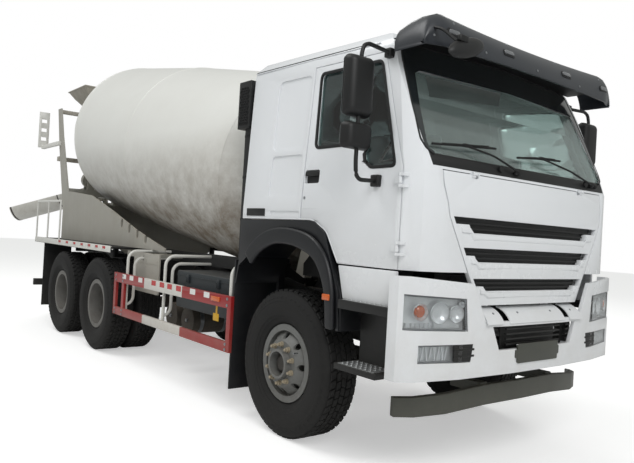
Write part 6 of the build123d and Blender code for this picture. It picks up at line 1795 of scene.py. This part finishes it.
class TRUCK_OT_rear_end(bpy.types.Operator):
    """Rear mudguards, reflectors, mudflaps, lamps, rail and lamp mast"""
    bl_idname = "truck.rear_end"
    bl_label = "Rear end"

    def execute(self, context):
        guards = restyled("rear_mudguards", "mudguard_plates", 0.005, 3, "chassis",
            ["tube_enamel", "seal_rubber"], 34)
        for face in guards.data.polygons:
            face.material_index = int(face.center.z < 1.225 or abs(face.center.y) < 1.17)
        reflectors = []
        for station in (-3651, -3901, -4163, -4439, -4730, -5038, -5364):
            outline = oblong(-42, -15, 42, 15)
            reflectors.append(plate("rail_reflector", [spot(station + s, -1210, 1245 + z) for s,
                z in outline], 0.004, ACROSS * -0.006, 0.002))
        both_sides(joined("rail_reflectors", reflectors), "chassis", "tape_red")
        restyled("ladder_rail", "rail_tubes", 0.007, 3, "chassis", "tube_enamel", 34)
        restyled("rear_lamp_stand", "lamp_mast", 0.005, 3, "chassis", "tube_enamel", 34)
        restyled("rear_lamp_bar", "rear_beam", 0.010, 3, "chassis", "chassis_paint", 34)
        ribs, rims = [], []
        for across in (-860, -1020):
            for number in range(7):
                y = across - 58 + number * 19.4
                ribs.append(slab("lens_rib", [spot(-6815, a, z) for a,
                    z in oblong(y - 3, 514, y + 3, 586)], FORWARD * -0.0025))
            rims.append(band("lamp_rim", [spot(-6812, across + y, 550 + z) for y,
                z in oblong(-72, -44, 72, 44)], 0.008, 0.009, FORWARD * -0.006, 0.002))
        both_sides(joined("rear_lens_ribs", ribs), "chassis", "lens_red")
        both_sides(joined("rear_lamp_rims", rims), "chassis", "seal_rubber")
        flap = plate("rear_mudflaps", [spot(-6153, y, z) for y, z in oblong(-1185, 420, -715, 640)], 0.02,
            FORWARD * -0.004, 0.001)
        both_sides(flap, "chassis", "seal_rubber")
        restyled("underrun_bar", "underrun_beam", 0.011, 4, "chassis", "underrun", 34)
        return {"FINISHED"}


STEPS = ("stage", "finishes", "tyres", "wheel_nuts", "cab_panels", "doors", "side_mirrors", "visor",
    "wipers", "grille", "bumper", "front_lamps", "steps", "arches", "seats", "side_guards", "tanks",
    "air_intake", "drum_seams", "stands", "loading", "rear_end")


class TRUCK_PT_panel(bpy.types.Panel):
    """Buttons for every group of pieces, and their sizes"""
    bl_idname = "TRUCK_PT_panel"
    bl_label = "Concrete mixer truck"
    bl_space_type = "VIEW_3D"
    bl_region_type = "UI"
    bl_category = "Mixer Truck"

    def draw(self, context):
        layout = self.layout
        scene = context.scene
        for settings in (scene.truck_wheels, scene.truck_cab, scene.truck_body, scene.truck_stage):
            column = layout.column(align=True)
            for name in settings.bl_rna.properties.keys():
                if name not in ("rna_type", "name"):
                    column.prop(settings, name)
        column = layout.column(align=True)
        for step in STEPS:
            column.operator(f"truck.{step}")


CLASSES = (TruckWheelSizes, TruckCabSizes, TruckBodySizes, TruckStageSettings, TRUCK_OT_stage,
    TRUCK_OT_finishes, TRUCK_OT_tyres, TRUCK_OT_wheel_nuts, TRUCK_OT_cab_panels, TRUCK_OT_doors,
    TRUCK_OT_side_mirrors, TRUCK_OT_visor, TRUCK_OT_wipers, TRUCK_OT_grille, TRUCK_OT_bumper,
    TRUCK_OT_front_lamps, TRUCK_OT_steps, TRUCK_OT_arches, TRUCK_OT_seats, TRUCK_OT_side_guards,
    TRUCK_OT_tanks, TRUCK_OT_air_intake, TRUCK_OT_drum_seams, TRUCK_OT_stands, TRUCK_OT_loading,
    TRUCK_OT_rear_end, TRUCK_PT_panel,)
SETTINGS = {
    "truck_wheels": TruckWheelSizes,
    "truck_cab": TruckCabSizes,
    "truck_body": TruckBodySizes,
    "truck_stage": TruckStageSettings,
}


def register():
    for kind in CLASSES:
        bpy.utils.register_class(kind)
    for name, kind in SETTINGS.items():
        setattr(bpy.types.Scene, name, PointerProperty(type=kind))


def unregister():
    for name in SETTINGS:
        delattr(bpy.types.Scene, name)
    for kind in reversed(CLASSES):
        bpy.utils.unregister_class(kind)


def main():
    register()
    for step in STEPS:
        getattr(bpy.ops.truck, step)()


if __name__ == "__main__":
    main()
